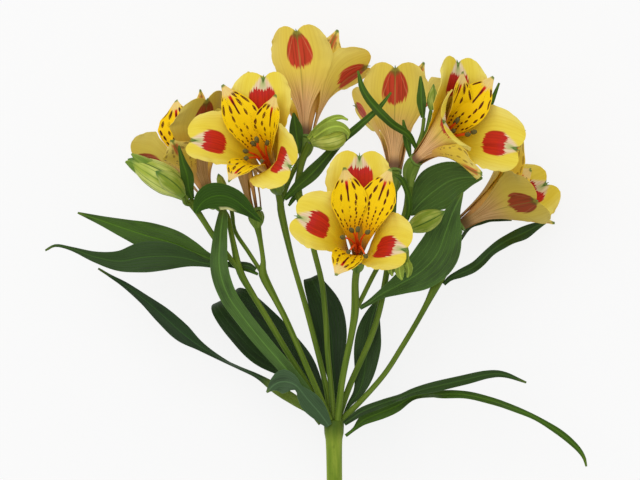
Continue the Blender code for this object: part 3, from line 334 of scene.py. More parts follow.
# The fold along the midrib, how softly it is rounded there, and the height, number and slant of the waves
# along the edges
LEAF_FOLD = 0.15
LEAF_FOLD_ROUND = 0.17
LEAF_WAVE = 0.4
LEAF_WAVES = 3
LEAF_WAVE_SLANT = 1.6
LEAST_HALF_WIDTH = 0.5
# How the half width closes at a leaf's tip: the share of the length where it would reach nothing, and how
# fast it gets there
CLOSE_AT = 1.02
CLOSE_PACE = 30

# The buds: x, y, z and radius from foot to shoulder, then the length of the pointed tip
BUDS = {
    "bud_1": (((-61.1, 93.3, 51, 1.8), (-66, 98, 51.6, 4.8), (-71, 101.2, 52, 6.1), (-78, 105.2, 52, 5.2),
               (-84.4, 108.8, 51, 2.2)), 2.6),
    "bud_2": (((-63.2, 94.6, 59.4, 1.4), (-66, 98.2, 61.6, 3.6), (-69.6, 101.2, 62.6, 4),
               (-73.2, 103.8, 62.6, 1.6)), 1.8),
    "bud_3": (((-9.4, 116.8, 56.6, 1.8), (-6.4, 118, 57, 4), (-2, 119, 57.4, 5.6), (2, 120, 57.4, 4.8),
               (4.6, 121, 57, 2)), 1.8),
    "bud_4": (((31.2, 80.3, 60, 1.4), (34, 82, 60.6, 3.4), (38, 84, 61, 4.6), (42.4, 86, 60.6, 3.4),
               (45.2, 87.4, 60, 1.2)), 1.6),
    "bud_5": (((29.6, 74, 63.2, 1.2), (28.8, 71, 64, 2.8), (27.6, 66.4, 64, 3.8),
               (27.4, 62.6, 63.4, 2.2)), 1.4),
    "bud_6": (((40.8, 130.6, 50, 0.9), (41, 133.4, 50, 2.1), (41.4, 137, 50, 2), (41.7, 140, 50, 0.8)), 1.6),
    "bud_7": (((-46.2, 96.2, 43.3, 0.9), (-47, 98.6, 44, 1.9), (-48, 101.8, 45, 1.5)), 2.4),
}

# The floor: half its width in metres, its own glow, which keeps it white round the stem, and how much it
# reflects
FLOOR_REACH = 4.0
FLOOR_GLOW = 0.8
FLOOR_SHADE = 0.16

# How far light spreads under a petal or bud, in metres, and the share of that for red, green and blue
SPREAD = 0.0008
SPREAD_SHARES = (1.0, 0.6, 0.3)
# The strength of the light from all round, and the softbox: its side in metres, its watts, its place in
# metres and the angles in degrees at which it leans
SKY_LIGHT = 0.62
LAMP_SIZE = 3.0
LAMP_POWER = 62
LAMP_PLACE = (-0.9, 1.1, 3.4)
LAMP_LEAN = (-17, -14, 0)

# Steps of the fine blades, along and across, and their thickness, which thins out towards the edges
OUTER_FINE = (44, 24)
INNER_FINE = (44, 16)
LEAF_STEP = 1.6
LEAF_ACROSS = 14
PETAL_THICK = 0.5
LEAF_THICK = 0.5
EDGE_THIN = 0.55
# The angle in degrees from which an edge between two faces is shown sharp
SHARP_ANGLE = 50

# The heart at an outer tepal's end: the share of the half width where its lobes reach out most, how far they
# do, and how far and over how much of a quarter circle their outer sides fall back, in shares of its length
LOBE_AT = 0.44
LOBE_RISE = 0.06
LOBE_FALL = 0.355
LOBE_REACH = 0.71

# Relief of a tepal in millimetres: the ruffles of its edge, the swelling of its face, and the groove along
# its midrib with that groove's half width
RUFFLE = 0.45
SWELLING = 0.35
GROOVE = 0.35
GROOVE_WIDTH = 1.1
# How far a tepal's edge is frayed, as a share of its half width, and its end, as a share of that again
FRAY = 0.011
END_FRAY = 0.12
# The pairs of waves that make these forms: two for the ruffles, each with its angle over the length and over
# the half width, one of each kind for the swelling, and two along the frayed side and two along the end
RUFFLE_WAVES = ((21, 2.2), (47, -1))
SWELL_WAVES = (9, 2.6)
SIDE_WAVES = (61, 83)
END_WAVES = (31, 19)
# The range in radians from which chance draws where a wave starts
WAVE_STARTS = (0, 6.28)
# The point at an outer tepal's end: its length, its radius at the foot, how deep it is sunk in the tepal,
# and how far it bends and tapers, as shares of its length and radius
MUCRO = 2.4
MUCRO_RADIUS = 0.5
MUCRO_SINK = 0.6
MUCRO_BEND = 0.35
MUCRO_TAPER = 0.85

# The length of a step along a stalk, how many points the other lines have, and the fewest points of a short
# ray and steps of a short leaf
STALK_STEP = 2.5
WIDTH_STEPS = 160
OVARY_STEPS = 18
BUD_STEPS = 30
BUD_TIP_STEPS = 9
POINT_STEPS = 16
MUCRO_STEPS = 7
COLUMN_STEPS = 12
FILAMENT_STEPS = 22
ANTHER_STEPS = 13
FEWEST_RAY_STEPS = 8
FEWEST_LEAF_STEPS = 24
# The sides of each kind of tube
STALK_SIDES = 20
RAY_SIDES = 14
OVARY_SIDES = 36
BUD_SIDES = 48
POINT_SIDES = 20
DISC_SIDES = 24
MUCRO_SIDES = 8
COLUMN_SIDES = 16
FILAMENT_SIDES = 10
ANTHER_SIDES = 14

# The green points at a bud's end, as short stems, and the bracts and torn flaps round two buds, as small
# leaves
BUD_POINTS = {
    "bud_1": (((-78, 107, 52.6, 3.4), (-82, 110, 53, 1.9), (-85, 112.2, 52.6, 0.4)),
              ((-81, 106.4, 51.4, 3.6), (-84.8, 108, 51.2, 2.1), (-87.6, 108.9, 51, 0.4))),
}
BUD_BRACTS = {
    "bud_3": (((-10.5, 118.3, 57, 1.2), (-7, 121.8, 59.4, 1.8), (-3.5, 125, 61, 1.7), (0, 127, 61.4, 1.3),
               (3, 127.4, 60.4, 0.9), (5.8, 126.3, 59, 0.3)),
              ((-8.4, 119, 60.4, 1.4), (-3, 122.6, 63.6, 2.5), (1, 123.6, 63.6, 2.2), (4, 122.8, 62, 1.7),
               (6, 120.6, 60, 1), (5.6, 118.4, 58.6, 0.3))),
    "bud_5": (((25.4, 69, 65.6, 0.8), (24.3, 66.2, 67.6, 1.7), (23.8, 63.2, 67.8, 1.4), (24.4, 61, 67, 0.3)),
              ((29.8, 68, 66, 0.8), (31, 65.2, 67.4, 1.7), (31.2, 62.4, 67, 1.3), (30.6, 60.4, 66, 0.3)),
              ((27.6, 67.4, 68, 0.9), (27.3, 64, 69.2, 1.9), (27.7, 61.2, 68.6, 1.4),
               (28.4, 59.4, 67.4, 0.3))),
}
# Buds painted in the paler green, and blooms whose outside is darkened to olive as painted shade, since they
# lie further back
PALE_BUDS = ("bud_1", "bud_3")
SHADED_BLOOMS = "fgh"
# How far a ray's end reaches on, to the foot of what it bears, and how much thinner it gets there
RAY_REACH = 0.8
RAY_THINNING = 0.1
# The ribs round an ovary and their height as a share of its radius; then the same share for a bud's three
# keels, its finer folds and its seams, the width of a seam, and the roundness and least radius of its tip
OVARY_RIBS = 6
RIB_HEIGHT = 0.09
KEEL_HEIGHT = 0.05
FOLD_HEIGHT = 0.015
SEAM_DEPTH = 0.06
SEAM_WIDTH = 0.12
TIP_ROUND = 0.8
TIP_RADIUS = 0.05
# The tones of the stalk and of the stamens' columns, which chance doesn't draw
STALK_TONE = 0.3
COLUMN_TONE = 0.5

# Dark dashes on the inner tepals: how many columns lie within the half width, where along the tepal they
# start, the space between them there in shares of its length, and how fast that grows towards the tip
DASH_COLUMNS = 2.25
DASH_START = 0.47
DASH_PITCH = 0.032
DASH_GROWTH = 3.6

# The look of each leaf, with the green of its upper and lower face
LEAF_LOOKS = {
    "dark": ("leaf_4", "leaf_8"),
    "dusky": ("leaf_3",),
    "deep": ("leaf_2", "leaf_9", "leaf_12", "leaf_15", "leaf_25"),
    "middle": ("leaf_1", "leaf_17", "leaf_19", "leaf_20", "leaf_21", "leaf_23", "leaf_24"),
    "bright": ("leaf_11", "leaf_16", "leaf_18", "leaf_22"),
    "curled": ("leaf_6",),
    "bluish": ("leaf_5", "leaf_13", "leaf_14"),
    "grey": ("leaf_10",),
}
LEAF_GREENS = {
    "dark": ((26, 52, 8), (44, 70, 18)),
    "dusky": ((28, 54, 16), (60, 86, 30)),
    "deep": ((42, 68, 20), (66, 94, 34)),
    "middle": ((60, 92, 16), (78, 108, 30)),
    "bright": ((58, 90, 10), (86, 116, 30)),
    "curled": ((48, 82, 2), (120, 142, 52)),
    "bluish": ((70, 102, 38), (90, 118, 52)),
    "grey": ((60, 86, 52), (84, 106, 68)),
}
# Where two leaves turn and show another green: low and high share of the length and of the width, and the
# green
LEAF_PATCHES = {
    "dusky": ((0.0, 0.24), (-1.1, 1.1), (112, 134, 44)),
    "curled": ((0.36, 0.66), (0.8, 1.1), (206, 204, 140)),
}


def rgb(red, green, blue):
    """A colour given as a screen shows it, from 0 to 255, in linear values."""
    shares = (red / 255, green / 255, blue / 255)
    return tuple(c / 12.92 if c < 0.04 else ((c + 0.055) / 1.055) ** 2.4 for c in shares) + (1.0,)


def unit(vectors):
    """The direction, at length one, of a vector or of each row of vectors."""
    return vectors / np.linalg.norm(vectors, axis=-1, keepdims=True)


def distances(points):
    """How far along a line each of its points is."""
    return np.append(0, np.cumsum(np.linalg.norm(np.diff(points, axis=0), axis=1)))


def sampled(at, run, table):
    """The rows of a table, which stand at distances run, worked out at the distances at."""
    return np.column_stack([np.interp(at, run, column) for column in table.T])


def square_to(vector, axis):
    """The part of a vector that is square to an axis."""
    return vector - axis * (vector @ axis)


def bezier(t, first, lead, back, last):
    """Points at shares t of a curve that leaves its first point towards lead and nears its last from back."""
    return (1 - t) ** 3 * first + 3 * (1 - t) ** 2 * t * lead + 3 * (1 - t) * t ** 2 * back + t ** 3 * last


def smooth(rows, count):
    """Rows of a smooth curve through the given ones, at even steps along it; x, y and z come first."""
    rows = np.asarray(rows, float)
    ends = np.vstack([2 * rows[0] - rows[1], rows, 2 * rows[-1] - rows[-2]])
    t = np.linspace(0, 1, SPAN_STEPS, endpoint=False)[:, None]
    dense = []
    for a, b, c, d in zip(ends, ends[1:], ends[2:], ends[3:]):
        slope_in, slope_out = (c - a) / 2, (d - b) / 2
        rise = c - b
        dense.append(b + t * slope_in + t ** 2 * (3 * rise - 2 * slope_in - slope_out)
                     + t ** 3 * (slope_in + slope_out - 2 * rise))
    dense = np.vstack(dense + [rows[-1:]])
    run = distances(dense[:, :3])
    return sampled(np.linspace(0, run[-1], count), run, dense)


def length_of(rows):
    """Length of a line through the rows of a table."""
    return distances(np.array(rows)[:, :3])[-1]


def carried(path, side):
    """Directions along a path, and a side vector carried along it without twist."""
    ahead = unit(np.gradient(path, axis=0))
    sides = np.empty_like(ahead)
    for i, direction in enumerate(ahead):
        side = unit(square_to(side, direction))
        sides[i] = side
    return ahead, sides


def turns(sides):
    """The angles of a ring's corners."""
    return 2 * math.pi * np.arange(sides) / sides


def rings(line, turn, factor=1):
    """Points of a ring round each point of a line of x, y, z and radius; the factor is on the radius."""
    ahead, side = carried(line[:, :3], np.cross(line[1, :3] - line[0, :3], SKEW))
    other = np.cross(ahead, side)
    radius = line[:, 3, None] * factor
    return (line[:, None, :3] + (radius * np.cos(turn))[:, :, None] * side[:, None]
            + (radius * np.sin(turn))[:, :, None] * other[:, None]).reshape(-1, 3)


def widths(table, s):
    """Half widths at shares s of the length, on a smooth curve through a table's."""
    rows = smooth([(100 * at, 0, 0, half) for at, half in table], WIDTH_STEPS)
    return np.interp(s, rows[:, 0] / 100, rows[:, 3])


def placed(name, data):
    """A new object in the scene that shows the data."""
    thing = bpy.data.objects.new(name, data)
    bpy.context.scene.collection.objects.link(thing)
    return thing


class Mesh:
    """Collects the closed shapes of one piece, with the two values per point that its materials read.

    The value "place" holds shares: for a blade, how far along and across it a point is and 1 on its inner
    face; for a tube, how far along it a point is and the cosine and sine of its angle round it. The value
    "about" holds a random tone, the half width or radius and the length, in millimetres.
    """

    def __init__(self):
        self.points, self.place, self.about, self.faces, self.kinds = [], [], [], [], []

    def add(self, points, place, about, faces, kind):
        """Adds one closed shape; the kind is the number of its material in the piece."""
        start = sum(len(block) for block in self.points)
        self.points.append(points)
        self.place.append(place)
        self.about.append(about)
        self.faces += [tuple(start + corner for corner in face) for face in faces]
        self.kinds += [kind] * len(faces)

    def blade(self, grid, s, q, half, length, tone, thick, kind):
        """A thin blade from a grid of points, pressed flat where it would sink below the surface."""
        rows, columns = grid.shape[:2]
        edge = np.abs(q) ** 4 + s[:, None] ** 12
        offset = (thick / 2 * (1 - EDGE_THIN * np.minimum(edge, 1)))[:, :, None]
        pressed = grid[:, :, 2] <= thick / 2
        grid[pressed, 2] = thick / 2
        normal = np.cross(np.gradient(grid, axis=1), np.gradient(grid, axis=0))
        normal /= np.maximum(np.linalg.norm(normal, axis=2), 1e-9)[:, :, None]
        normal[pressed] = np.sign(normal[pressed] * (0, 0, 1))
        top = (grid + normal * offset).reshape(-1, 3)
        bottom = (grid - normal * offset).reshape(-1, 3)
        lift = np.maximum(0, -np.minimum(top[:, 2], bottom[:, 2]))
        top[:, 2] += lift
        bottom[:, 2] += lift
        along = np.repeat(s, columns)
        across = np.tile(q, rows)
        about = np.column_stack([np.full(len(along), tone), np.repeat(half, columns),
                                 np.full(len(along), length)])
        place = [np.column_stack([along, across, np.full(len(along), face)]) for face in (1.0, 0.0)]
        under = rows * columns
        faces = []
        for i in range(rows - 1):
            for j in range(columns - 1):
                a = i * columns + j
                b, c, d = a + 1, a + columns + 1, a + columns
                faces += [(a, b, c, d), (under + d, under + c, under + b, under + a)]
        rim = [(i, 0) for i in range(rows)] + [(rows - 1, j) for j in range(1, columns)]
        rim += [(i, columns - 1) for i in range(rows - 2, -1, -1)]
        rim += [(0, j) for j in range(columns - 2, 0, -1)]
        ring = [i * columns + j for i, j in rim]
        faces += [(a, b, under + b, under + a) for a, b in zip(ring, ring[1:] + ring[:1])]
        self.add(np.vstack([top, bottom]), np.vstack(place), np.vstack([about, about]), faces, kind)

    def tube(self, line, sides, tone, kind, section=None):
        """A closed stem round a line of x, y, z and radius, lifted where it would sink below the surface.

        The section gives factors on the radius by angle and share of the length.
        """
        line = np.array(line, float)
        line[:, 2] = np.maximum(line[:, 2], line[:, 3])
        turn = turns(sides)
        run = distances(line[:, :3])
        share = run / run[-1]
        points = rings(line, turn, section(turn[None, :], share[:, None]) if section else 1)
        last = (len(line) - 1) * sides
        faces = []
        for i in range(len(line) - 1):
            for j in range(sides):
                k = (j + 1) % sides
                faces.append((i * sides + j, i * sides + k, (i + 1) * sides + k, (i + 1) * sides + j))
        faces.append(tuple(range(sides - 1, -1, -1)))
        faces.append(tuple(range(last, last + sides)))
        place = np.column_stack([np.repeat(share, sides), np.tile(np.cos(turn), len(line)),
                                 np.tile(np.sin(turn), len(line))])
        about = np.column_stack([np.full(len(points), tone), np.repeat(line[:, 3], sides),
                                 np.full(len(points), run[-1])])
        self.add(points, place, about, faces, kind)

    def piece(self, node, materials, shift):
        """Makes the finished object, in metres, that stands for a node of the frame."""
        mesh = bpy.data.meshes.new(node + "_fine")
        mesh.from_pydata(((np.vstack(self.points) + shift) * MM).tolist(), [], self.faces)
        for name, blocks in (("place", self.place), ("about", self.about)):
            layer = mesh.attributes.new(name, "FLOAT_VECTOR", "POINT")
            layer.data.foreach_set("vector", np.vstack(blocks).astype(np.float32).ravel())
        for material in materials:
            mesh.materials.append(material)
        mesh.polygons.foreach_set("material_index", np.array(self.kinds, dtype=np.int32))
        mesh.shade_smooth()
        mesh.set_sharp_from_angle(angle=math.radians(SHARP_ANGLE))
        thing = placed(node + "_fine", mesh)
        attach(thing, "root")
        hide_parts(node)


class Value:
    """A number that a material works out at each point; arithmetic on values makes the nodes for it."""

    def __init__(self, tree, socket):
        self.tree, self.socket = tree, socket

    def math(self, operation, *others):
        """The result of one of Blender's math operations on this value and others."""
        node = self.tree.nodes.new("ShaderNodeMath")
        node.operation = operation
        for slot, value in zip(node.inputs, (self, *others)):
            feed(self.tree, slot, value)
        return Value(self.tree, node.outputs[0])

    def __add__(self, other):
        return self.math("ADD", other)

    def __sub__(self, other):
        return self.math("SUBTRACT", other)

    def __mul__(self, other):
        return self.math("MULTIPLY", other)

    def __truediv__(self, other):
        return self.math("DIVIDE", other)

    def __pow__(self, other):
        return self.math("POWER", other)

    def flipped(self):
        """One minus the value."""
        return self * -1 + 1

    def size(self):
        """The value without its sign."""
        return self.math("ABSOLUTE")

    def whole(self):
        """The whole number at or below the value."""
        return self.math("FLOOR")

    def rise(self, low, high):
        """A soft step from 0 at low to 1 at high, or the other way where low is the greater."""
        node = self.tree.nodes.new("ShaderNodeMapRange")
        node.interpolation_type = "SMOOTHSTEP"
        for name, value in (("Value", self), ("From Min", low), ("From Max", high)):
            feed(self.tree, node.inputs[name], value)
        return Value(self.tree, node.outputs["Result"])


def feed(tree, slot, value):
    """Links a value to a socket, or sets a plain number or colour on it."""
    if isinstance(value, Value):
        tree.links.new(value.socket, slot)
    else:
        slot.default_value = value


class Paint:
    """One procedural material and the nodes that it is made of."""

    def __init__(self, name, roughness, glow=0.0, shine=0.12):
        self.material = bpy.data.materials.new(name)
        self.material.use_nodes = True
        self.tree = self.material.node_tree
        self.shader = self.tree.nodes["Principled BSDF"]
        self.shader.inputs["Roughness"].default_value = roughness
        self.shader.inputs["Specular IOR Level"].default_value = shine
        self.shader.inputs["Subsurface Weight"].default_value = glow
        self.shader.inputs["Subsurface Radius"].default_value = SPREAD_SHARES
        self.shader.inputs["Subsurface Scale"].default_value = SPREAD

    def vector(self, *values):
        """Three values as one vector."""
        node = self.tree.nodes.new("ShaderNodeCombineXYZ")
        for slot, value in zip(node.inputs, values):
            feed(self.tree, slot, value)
        return Value(self.tree, node.outputs[0])

    def read(self, name):
        """The three numbers of a value that the mesh holds."""
        node = self.tree.nodes.new("ShaderNodeAttribute")
        node.attribute_name = name
        parts = self.tree.nodes.new("ShaderNodeSeparateXYZ")
        self.tree.links.new(node.outputs["Vector"], parts.inputs[0])
        return [Value(self.tree, socket) for socket in parts.outputs]

    def noise(self, x, y, z, detail=2.0):
        """Soft noise about one half, with a swell for about each whole step of x, y and z."""
        node = self.tree.nodes.new("ShaderNodeTexNoise")
        node.inputs["Scale"].default_value = 1.0
        node.inputs["Detail"].default_value = detail
        feed(self.tree, node.inputs["Vector"], self.vector(x, y, z))
        return Value(self.tree, node.outputs["Fac"])

    def chance(self, x, y, z):
        """Three random numbers from 0 to 1 for each whole x, y and z."""
        node = self.tree.nodes.new("ShaderNodeTexWhiteNoise")
        feed(self.tree, node.inputs["Vector"], self.vector(x, y, z))
        parts = self.tree.nodes.new("ShaderNodeSeparateColor")
        self.tree.links.new(node.outputs["Color"], parts.inputs[0])
        return [Value(self.tree, socket) for socket in parts.outputs]

    def mix(self, share, first, second):
        """The first colour where the share is 0, and the second where it is 1."""
        node = self.tree.nodes.new("ShaderNodeMix")
        node.data_type = "RGBA"
        feed(self.tree, node.inputs[0], share)
        feed(self.tree, node.inputs[6], first)
        feed(self.tree, node.inputs[7], second)
        return Value(self.tree, node.outputs[2])

    def layers(self, colour, *coats):
        """A colour under coats of others, each given as its share and its colour."""
        for share, over in coats:
            colour = self.mix(share, colour, over)
        return colour

    def finish(self, colour, height=None, depth=0.0003, strength=0.4):
        """Sets the colour and the relief, whose height runs from 0 to 1, and gives the material."""
        feed(self.tree, self.shader.inputs["Base Color"], colour)
        if height:
            node = self.tree.nodes.new("ShaderNodeBump")
            node.inputs["Strength"].default_value = strength
            node.inputs["Distance"].default_value = depth
            feed(self.tree, node.inputs["Height"], height)
            self.tree.links.new(node.outputs["Normal"], self.shader.inputs["Normal"])
        return self.material


def oval(across, along, power):
    """A soft-edged oval: 1 inside and 0 outside, from distances in shares of its half axes."""
    return (across.size() ** power + along.size() ** power).rise(1.14, 0.86)


def outer_material(name, painted_shade):
    """Outer tepals: pale yellow with a ragged red blotch under a whitish tip; the outside has a pinkish tube.

    The last argument is how far the outside is darkened to olive, as painted shade on blooms that lie further
    back.
    """
    paint = Paint("tepal_outer_" + name, roughness=0.65)
    s, q, inner = paint.read("place")
    tone, half, length = paint.read("about")
    off = (q * half).size()
    to_tip = s.flipped() * length
    # Streaks run along the veins, finer across than along
    streak = paint.noise(q * 20, s * 2.2, tone * 37, 3.0)
    fine = paint.noise(q * 46, s * 3, tone * 53 + 9)
    cloud = paint.noise(q * 2.2, s * 3, tone * 29)
    ragged = (streak - 0.5) * 4.6 + (fine - 0.5) * 3.6

    # The inner face
    face = paint.mix(s.rise(0.4, 0.85), rgb(230, 196, 14), rgb(236, 214, 76))
    face = paint.layers(
        face,
        (q.size().rise(0.5, 1.0) * s.rise(0.5, 0.9) * 0.8, rgb(240, 224, 120)),  # paler at the edges
        (cloud.rise(0.55, 0.3) * 0.35, rgb(220, 186, 18)),  # deeper in places
        (streak - 0.4, rgb(214, 178, 36)),  # veins
        (s.rise(0.48, 0.14), rgb(176, 132, 60)),  # brown towards the claw: partly the throat's own colour, partly painted shade in the deep throat
    )
    pale = paint.mix(fine.rise(0.4, 0.65), rgb(232, 216, 184), rgb(226, 176, 156))
    pale = paint.mix((off - to_tip * 0.25).rise(0.9, 0.0) * to_tip.rise(6.5, 2.0), pale, rgb(176, 186, 128))
    wedge = (off - to_tip * 0.62 + ragged * 0.25).rise(1.5, 0.1) * to_tip.rise(9.0, 6.5)
    face = paint.mix(wedge * 0.88, face, pale)
    blotch = oval(off / 5.8, (to_tip + ragged * (to_tip.rise(12.0, 6.5) * 0.16 + 0.72) - 9.7) / 4.7, 2.8)
    red = paint.mix(streak.rise(0.35, 0.7), rgb(200, 20, 14), rgb(168, 8, 12))
    face = paint.layers(
        face,
        (blotch * 0.97, red),
        ((off + to_tip * 0.6).rise(1.9, 0.8), rgb(92, 122, 52)),  # green at the very tip
    )

    # The outside
    back = paint.mix(s.rise(0.3, 0.75), rgb(226, 188, 84), rgb(234, 208, 84))
    back = paint.layers(
        back,
        (q.size().rise(0.4, 1.0) * s.rise(0.5, 0.9) * 0.6, rgb(238, 220, 124)),  # paler at the edges
        (streak - 0.4, rgb(206, 168, 62)),  # veins
    )
    tube = s.rise(0.66, 0.26)
    pink = paint.mix((streak - 0.34) * 2.2, rgb(234, 190, 136), rgb(200, 130, 86))
    back = paint.layers(
        back,
        (tube * (off.rise(9.0, 1.0) * 0.55 + 0.4), pink),
        (tube * (streak + fine * 0.6).rise(0.78, 0.98) * 0.6, rgb(128, 100, 44)),  # streaks on the tube
        (s.rise(0.16, 0.04) * 0.85, rgb(92, 62, 50)),  # brown at the claw
    )
    rib = ((off / (to_tip + 2.5)) * 9 + (fine - 0.5) * 0.5).math("SINE").size()
    uneven = ragged * (to_tip.rise(7.0, 13.0) * 0.9 + 0.3)
    body = oval(off / (to_tip * 0.24 + 3.1), (to_tip + uneven - 8.4) / 7.0, 2.2)
    deep = paint.mix(streak.rise(0.4, 0.65), rgb(200, 38, 38), rgb(156, 16, 22))
    deep = paint.mix(rib.rise(0.3, 0.05) * 0.5, deep, rgb(216, 120, 84))
    back = paint.mix(body * 0.94, back, deep)
    fan = to_tip.rise(4.4, 1.6) * (off - to_tip * 0.5).rise(1.3, 0.3)
    fan = fan + rib.rise(0.35, 0.08) * to_tip.rise(8.0, 3.0) * (off - to_tip * 0.3).rise(1.2, 0.3) * 0.6
    back = paint.layers(
        back,
        (fan.math("MINIMUM", 1.0) * 0.8, rgb(104, 104, 40)),  # the green fan at the tip
        (off.rise(0.4, 0.1) * s.rise(0.25, 0.5) * 0.5, rgb(140, 124, 48)),  # the midrib
        (painted_shade, rgb(104, 88, 12)),  # painted shade: the olive of the blooms that lie further back
        (body * painted_shade, rgb(60, 8, 6)),  # painted shade: their blotch darker too
    )

    height = streak * 0.5 + fine * 0.5
    return paint.finish(paint.mix(inner.rise(0.35, 0.65), back, face), height, depth=0.00025, strength=0.35)


def inner_material():
    """Inner tepals: deep yellow with dark dashes in a fan, one long streak, and a pale pointed tip."""
    paint = Paint("tepal_inner", roughness=0.6)
    s, q, inner = paint.read("place")
    tone, half, length = paint.read("about")
    off = (q * half).size()
    to_tip = s.flipped() * length
    streak = paint.noise(q * 11, s * 2, tone * 41, 3.0)
    fine = paint.noise(q * 30, s * 3, tone * 59 + 3)

    # Dashes stand in columns along the veins, in rows that come closer towards the throat
    growth = ((s - DASH_START) * DASH_GROWTH).math("EXPONENT")
    pitch = growth * DASH_PITCH
    column_at = q * DASH_COLUMNS + 0.5
    column = column_at.whole()
    stagger = paint.chance(column, tone * 91, 5.0)[0]
    row_at = growth ** -1.0 * (-1 / (DASH_PITCH * DASH_GROWTH)) + stagger + 100
    row = row_at.whole()
    turn_x, turn_y, kept = paint.chance(column, row, tone * 77)
    across = (column_at - column - 0.5 + (turn_x - 0.5) * 0.34) * half / DASH_COLUMNS
    along = (row_at - row - 0.5 + (turn_y - 0.5) * 0.3) * pitch * length
    wide = (s - 0.4).math("MAXIMUM", 0.0) * 0.66 + 0.28
    long = pitch * length * (kept * 0.12 + 0.36)
    dash = ((across / wide).size() ** 1.3 + (along / long).size() ** 1.8).rise(1.25, 0.85)
    dash = dash * kept.rise(0.12, 0.14) * s.rise(0.38, 0.42) * to_tip.rise(4.4, 5.6)
    dash = dash * q.size().rise(0.97, 0.92)
    dash = dash * (off.rise(1.0, 1.4) + s.rise(0.64, 0.60)).math("MINIMUM", 1.0)
    line = off.rise(0.50, 0.28) * (to_tip + (fine - 0.5) * 2).rise(14.6, 13.6) * to_tip.rise(6.4, 8.0)
    glow = (off + (fine - 0.5) * 0.8).rise(0.85, 0.4) * to_tip.rise(10.5, 8.5) * to_tip.rise(4.9, 6.2)

    # The inner face
    face = paint.mix(s.rise(0.3, 0.6), rgb(220, 160, 10), rgb(248, 206, 6))
    face = paint.layers(
        face,
        ((streak - 0.45) * 0.7, rgb(236, 182, 4)),  # veins
        (s.rise(0.34, 0.14), rgb(176, 124, 56)),  # brown towards the claw: partly the throat's own colour, partly painted shade in the deep throat
    )
    tip = (to_tip + off * 0.9 + (streak - 0.5) * 7).rise(8.4, 5.2)
    pale = paint.mix(fine.rise(0.45, 0.7), rgb(236, 214, 140), rgb(224, 168, 132))
    face = paint.layers(
        face,
        (tip * 0.8, pale),
        (glow, rgb(204, 30, 16)),  # red round the long streak
        ((dash + line).math("MINIMUM", 1.0), rgb(84, 8, 6)),  # the dashes and the long streak
    )

    # The outside
    back = paint.mix(s.rise(0.3, 0.7), rgb(222, 178, 62), rgb(238, 206, 70))
    back = paint.layers(
        back,
        (streak - 0.4, rgb(212, 168, 40)),  # veins
        (to_tip.rise(12.0, 4.0) * 0.7, rgb(234, 214, 120)),  # paler towards the tip
        (s.rise(0.5, 0.15) * 0.8, rgb(212, 152, 100)),  # pinkish towards the claw
        (s.rise(0.16, 0.04) * 0.8, rgb(92, 62, 50)),  # brown at the claw
        (dash * 0.6, rgb(120, 62, 20)),  # the dashes show through
    )
    rose = (off + (streak - 0.5) * 2.4).rise(1.9, 0.6) * to_tip.rise(13.0, 9.0) * to_tip.rise(1.6, 3.4)
    back = paint.layers(
        back,
        (rose * 0.85, rgb(196, 50, 34)),  # a red stripe near the tip
        (off.rise(0.6, 0.2) * s.rise(0.3, 0.6) * 0.7, rgb(116, 124, 44)),  # the midrib
    )

    colour = paint.mix(inner.rise(0.35, 0.65), back, face)
    colour = paint.mix(to_tip.rise(1.5, 0.5) * 0.9, colour, rgb(104, 130, 56))
    return paint.finish(colour, streak * 0.5 + fine * 0.5, depth=0.00025, strength=0.35)


def leaf_material(name, upper, lower, patch=None):
    """A leaf with long parallel veins, lighter than the green between them, and a soft shine.

    A patch gives a share of the length and one across, both as low and high, and the colour between them.
    """
    paint = Paint("leaf_" + name, roughness=0.5, shine=0.2)
    s, q, inner = paint.read("place")
    tone, half, length = paint.read("about")
    x = q * half
    cloud = paint.noise(x * 0.25, s * length * 0.06, tone * 61)
    fine = paint.noise(x * 4, s * length * 0.08, tone * 23)
    vein = ((q * 15 + (cloud - 0.5) * 0.7).math("SINE").size() + (fine - 0.5) * 0.5).rise(0.42, 0.05)
    midrib = x.size().rise(0.5, 0.15)
    green = paint.mix(inner.rise(0.35, 0.65), rgb(*lower), rgb(*upper))
    dark = tuple(part * 0.58 for part in upper)
    light = tuple(min(255, part * 1.3 + 12) for part in upper)
    green = paint.layers(
        green,
        (cloud.rise(0.55, 0.3) * 0.6, rgb(*dark)),  # darker in places
        ((fine - 0.4) * 0.8, rgb(*dark)),  # fine streaks
        (vein * 0.3, rgb(*light)),
        (midrib * 0.5, rgb(*light)),
        (q.size().rise(0.94, 1.0) * 0.4, rgb(*light)),  # a lighter rim
        (s.rise(0.93, 1.0) * 0.35, rgb(118, 134, 40)),  # yellower at the tip
    )
    if patch:
        (low, high), (near, far), shade = patch
        place = s.rise(low - 0.03, low + 0.03) * s.rise(high + 0.05, high - 0.05)
        place = place * q.rise(near - 0.06, near + 0.06) * q.rise(far + 0.06, far - 0.06)
        turned = paint.mix(vein * 0.4, rgb(*shade), rgb(*(0.8 * part for part in shade)))
        green = paint.mix(place * 0.9, green, turned)
    height = vein * -0.6 + midrib * -0.8 + fine * 0.3
    return paint.finish(green, height, depth=0.0003, strength=0.5)


def stalk_material(name, green, light, whorl=0.0):
    """A green stalk with faint ribs and darker flecks; whorl is how much it darkens at its very top."""
    paint = Paint(name, roughness=0.5)
    s, cosine, sine = paint.read("place")
    tone, _, length = paint.read("about")
    angle = sine.math("ARCTAN2", cosine)
    rib = (angle * 7 + tone * 9).math("SINE") * 0.5 + 0.5
    cloud = paint.noise(cosine * 1.2, sine * 1.2 + tone * 31, s * length * 0.05)
    fleck = paint.noise(cosine * 5, sine * 5 + tone * 31, s * length * 0.35, 3.0)
    colour = paint.mix(cloud.rise(0.3, 0.7), rgb(*green), rgb(*light))
    colour = paint.layers(
        colour,
        (rib * 0.2, rgb(*light)),
        (fleck.rise(0.58, 0.75) * 0.4, rgb(*(part * 0.72 for part in green))),
        (s.rise(0.955, 0.99) * whorl, rgb(52, 78, 16)),  # dark at the whorl
    )
    return paint.finish(colour, rib * 0.6 + fleck * 0.4, depth=0.00015, strength=0.4)


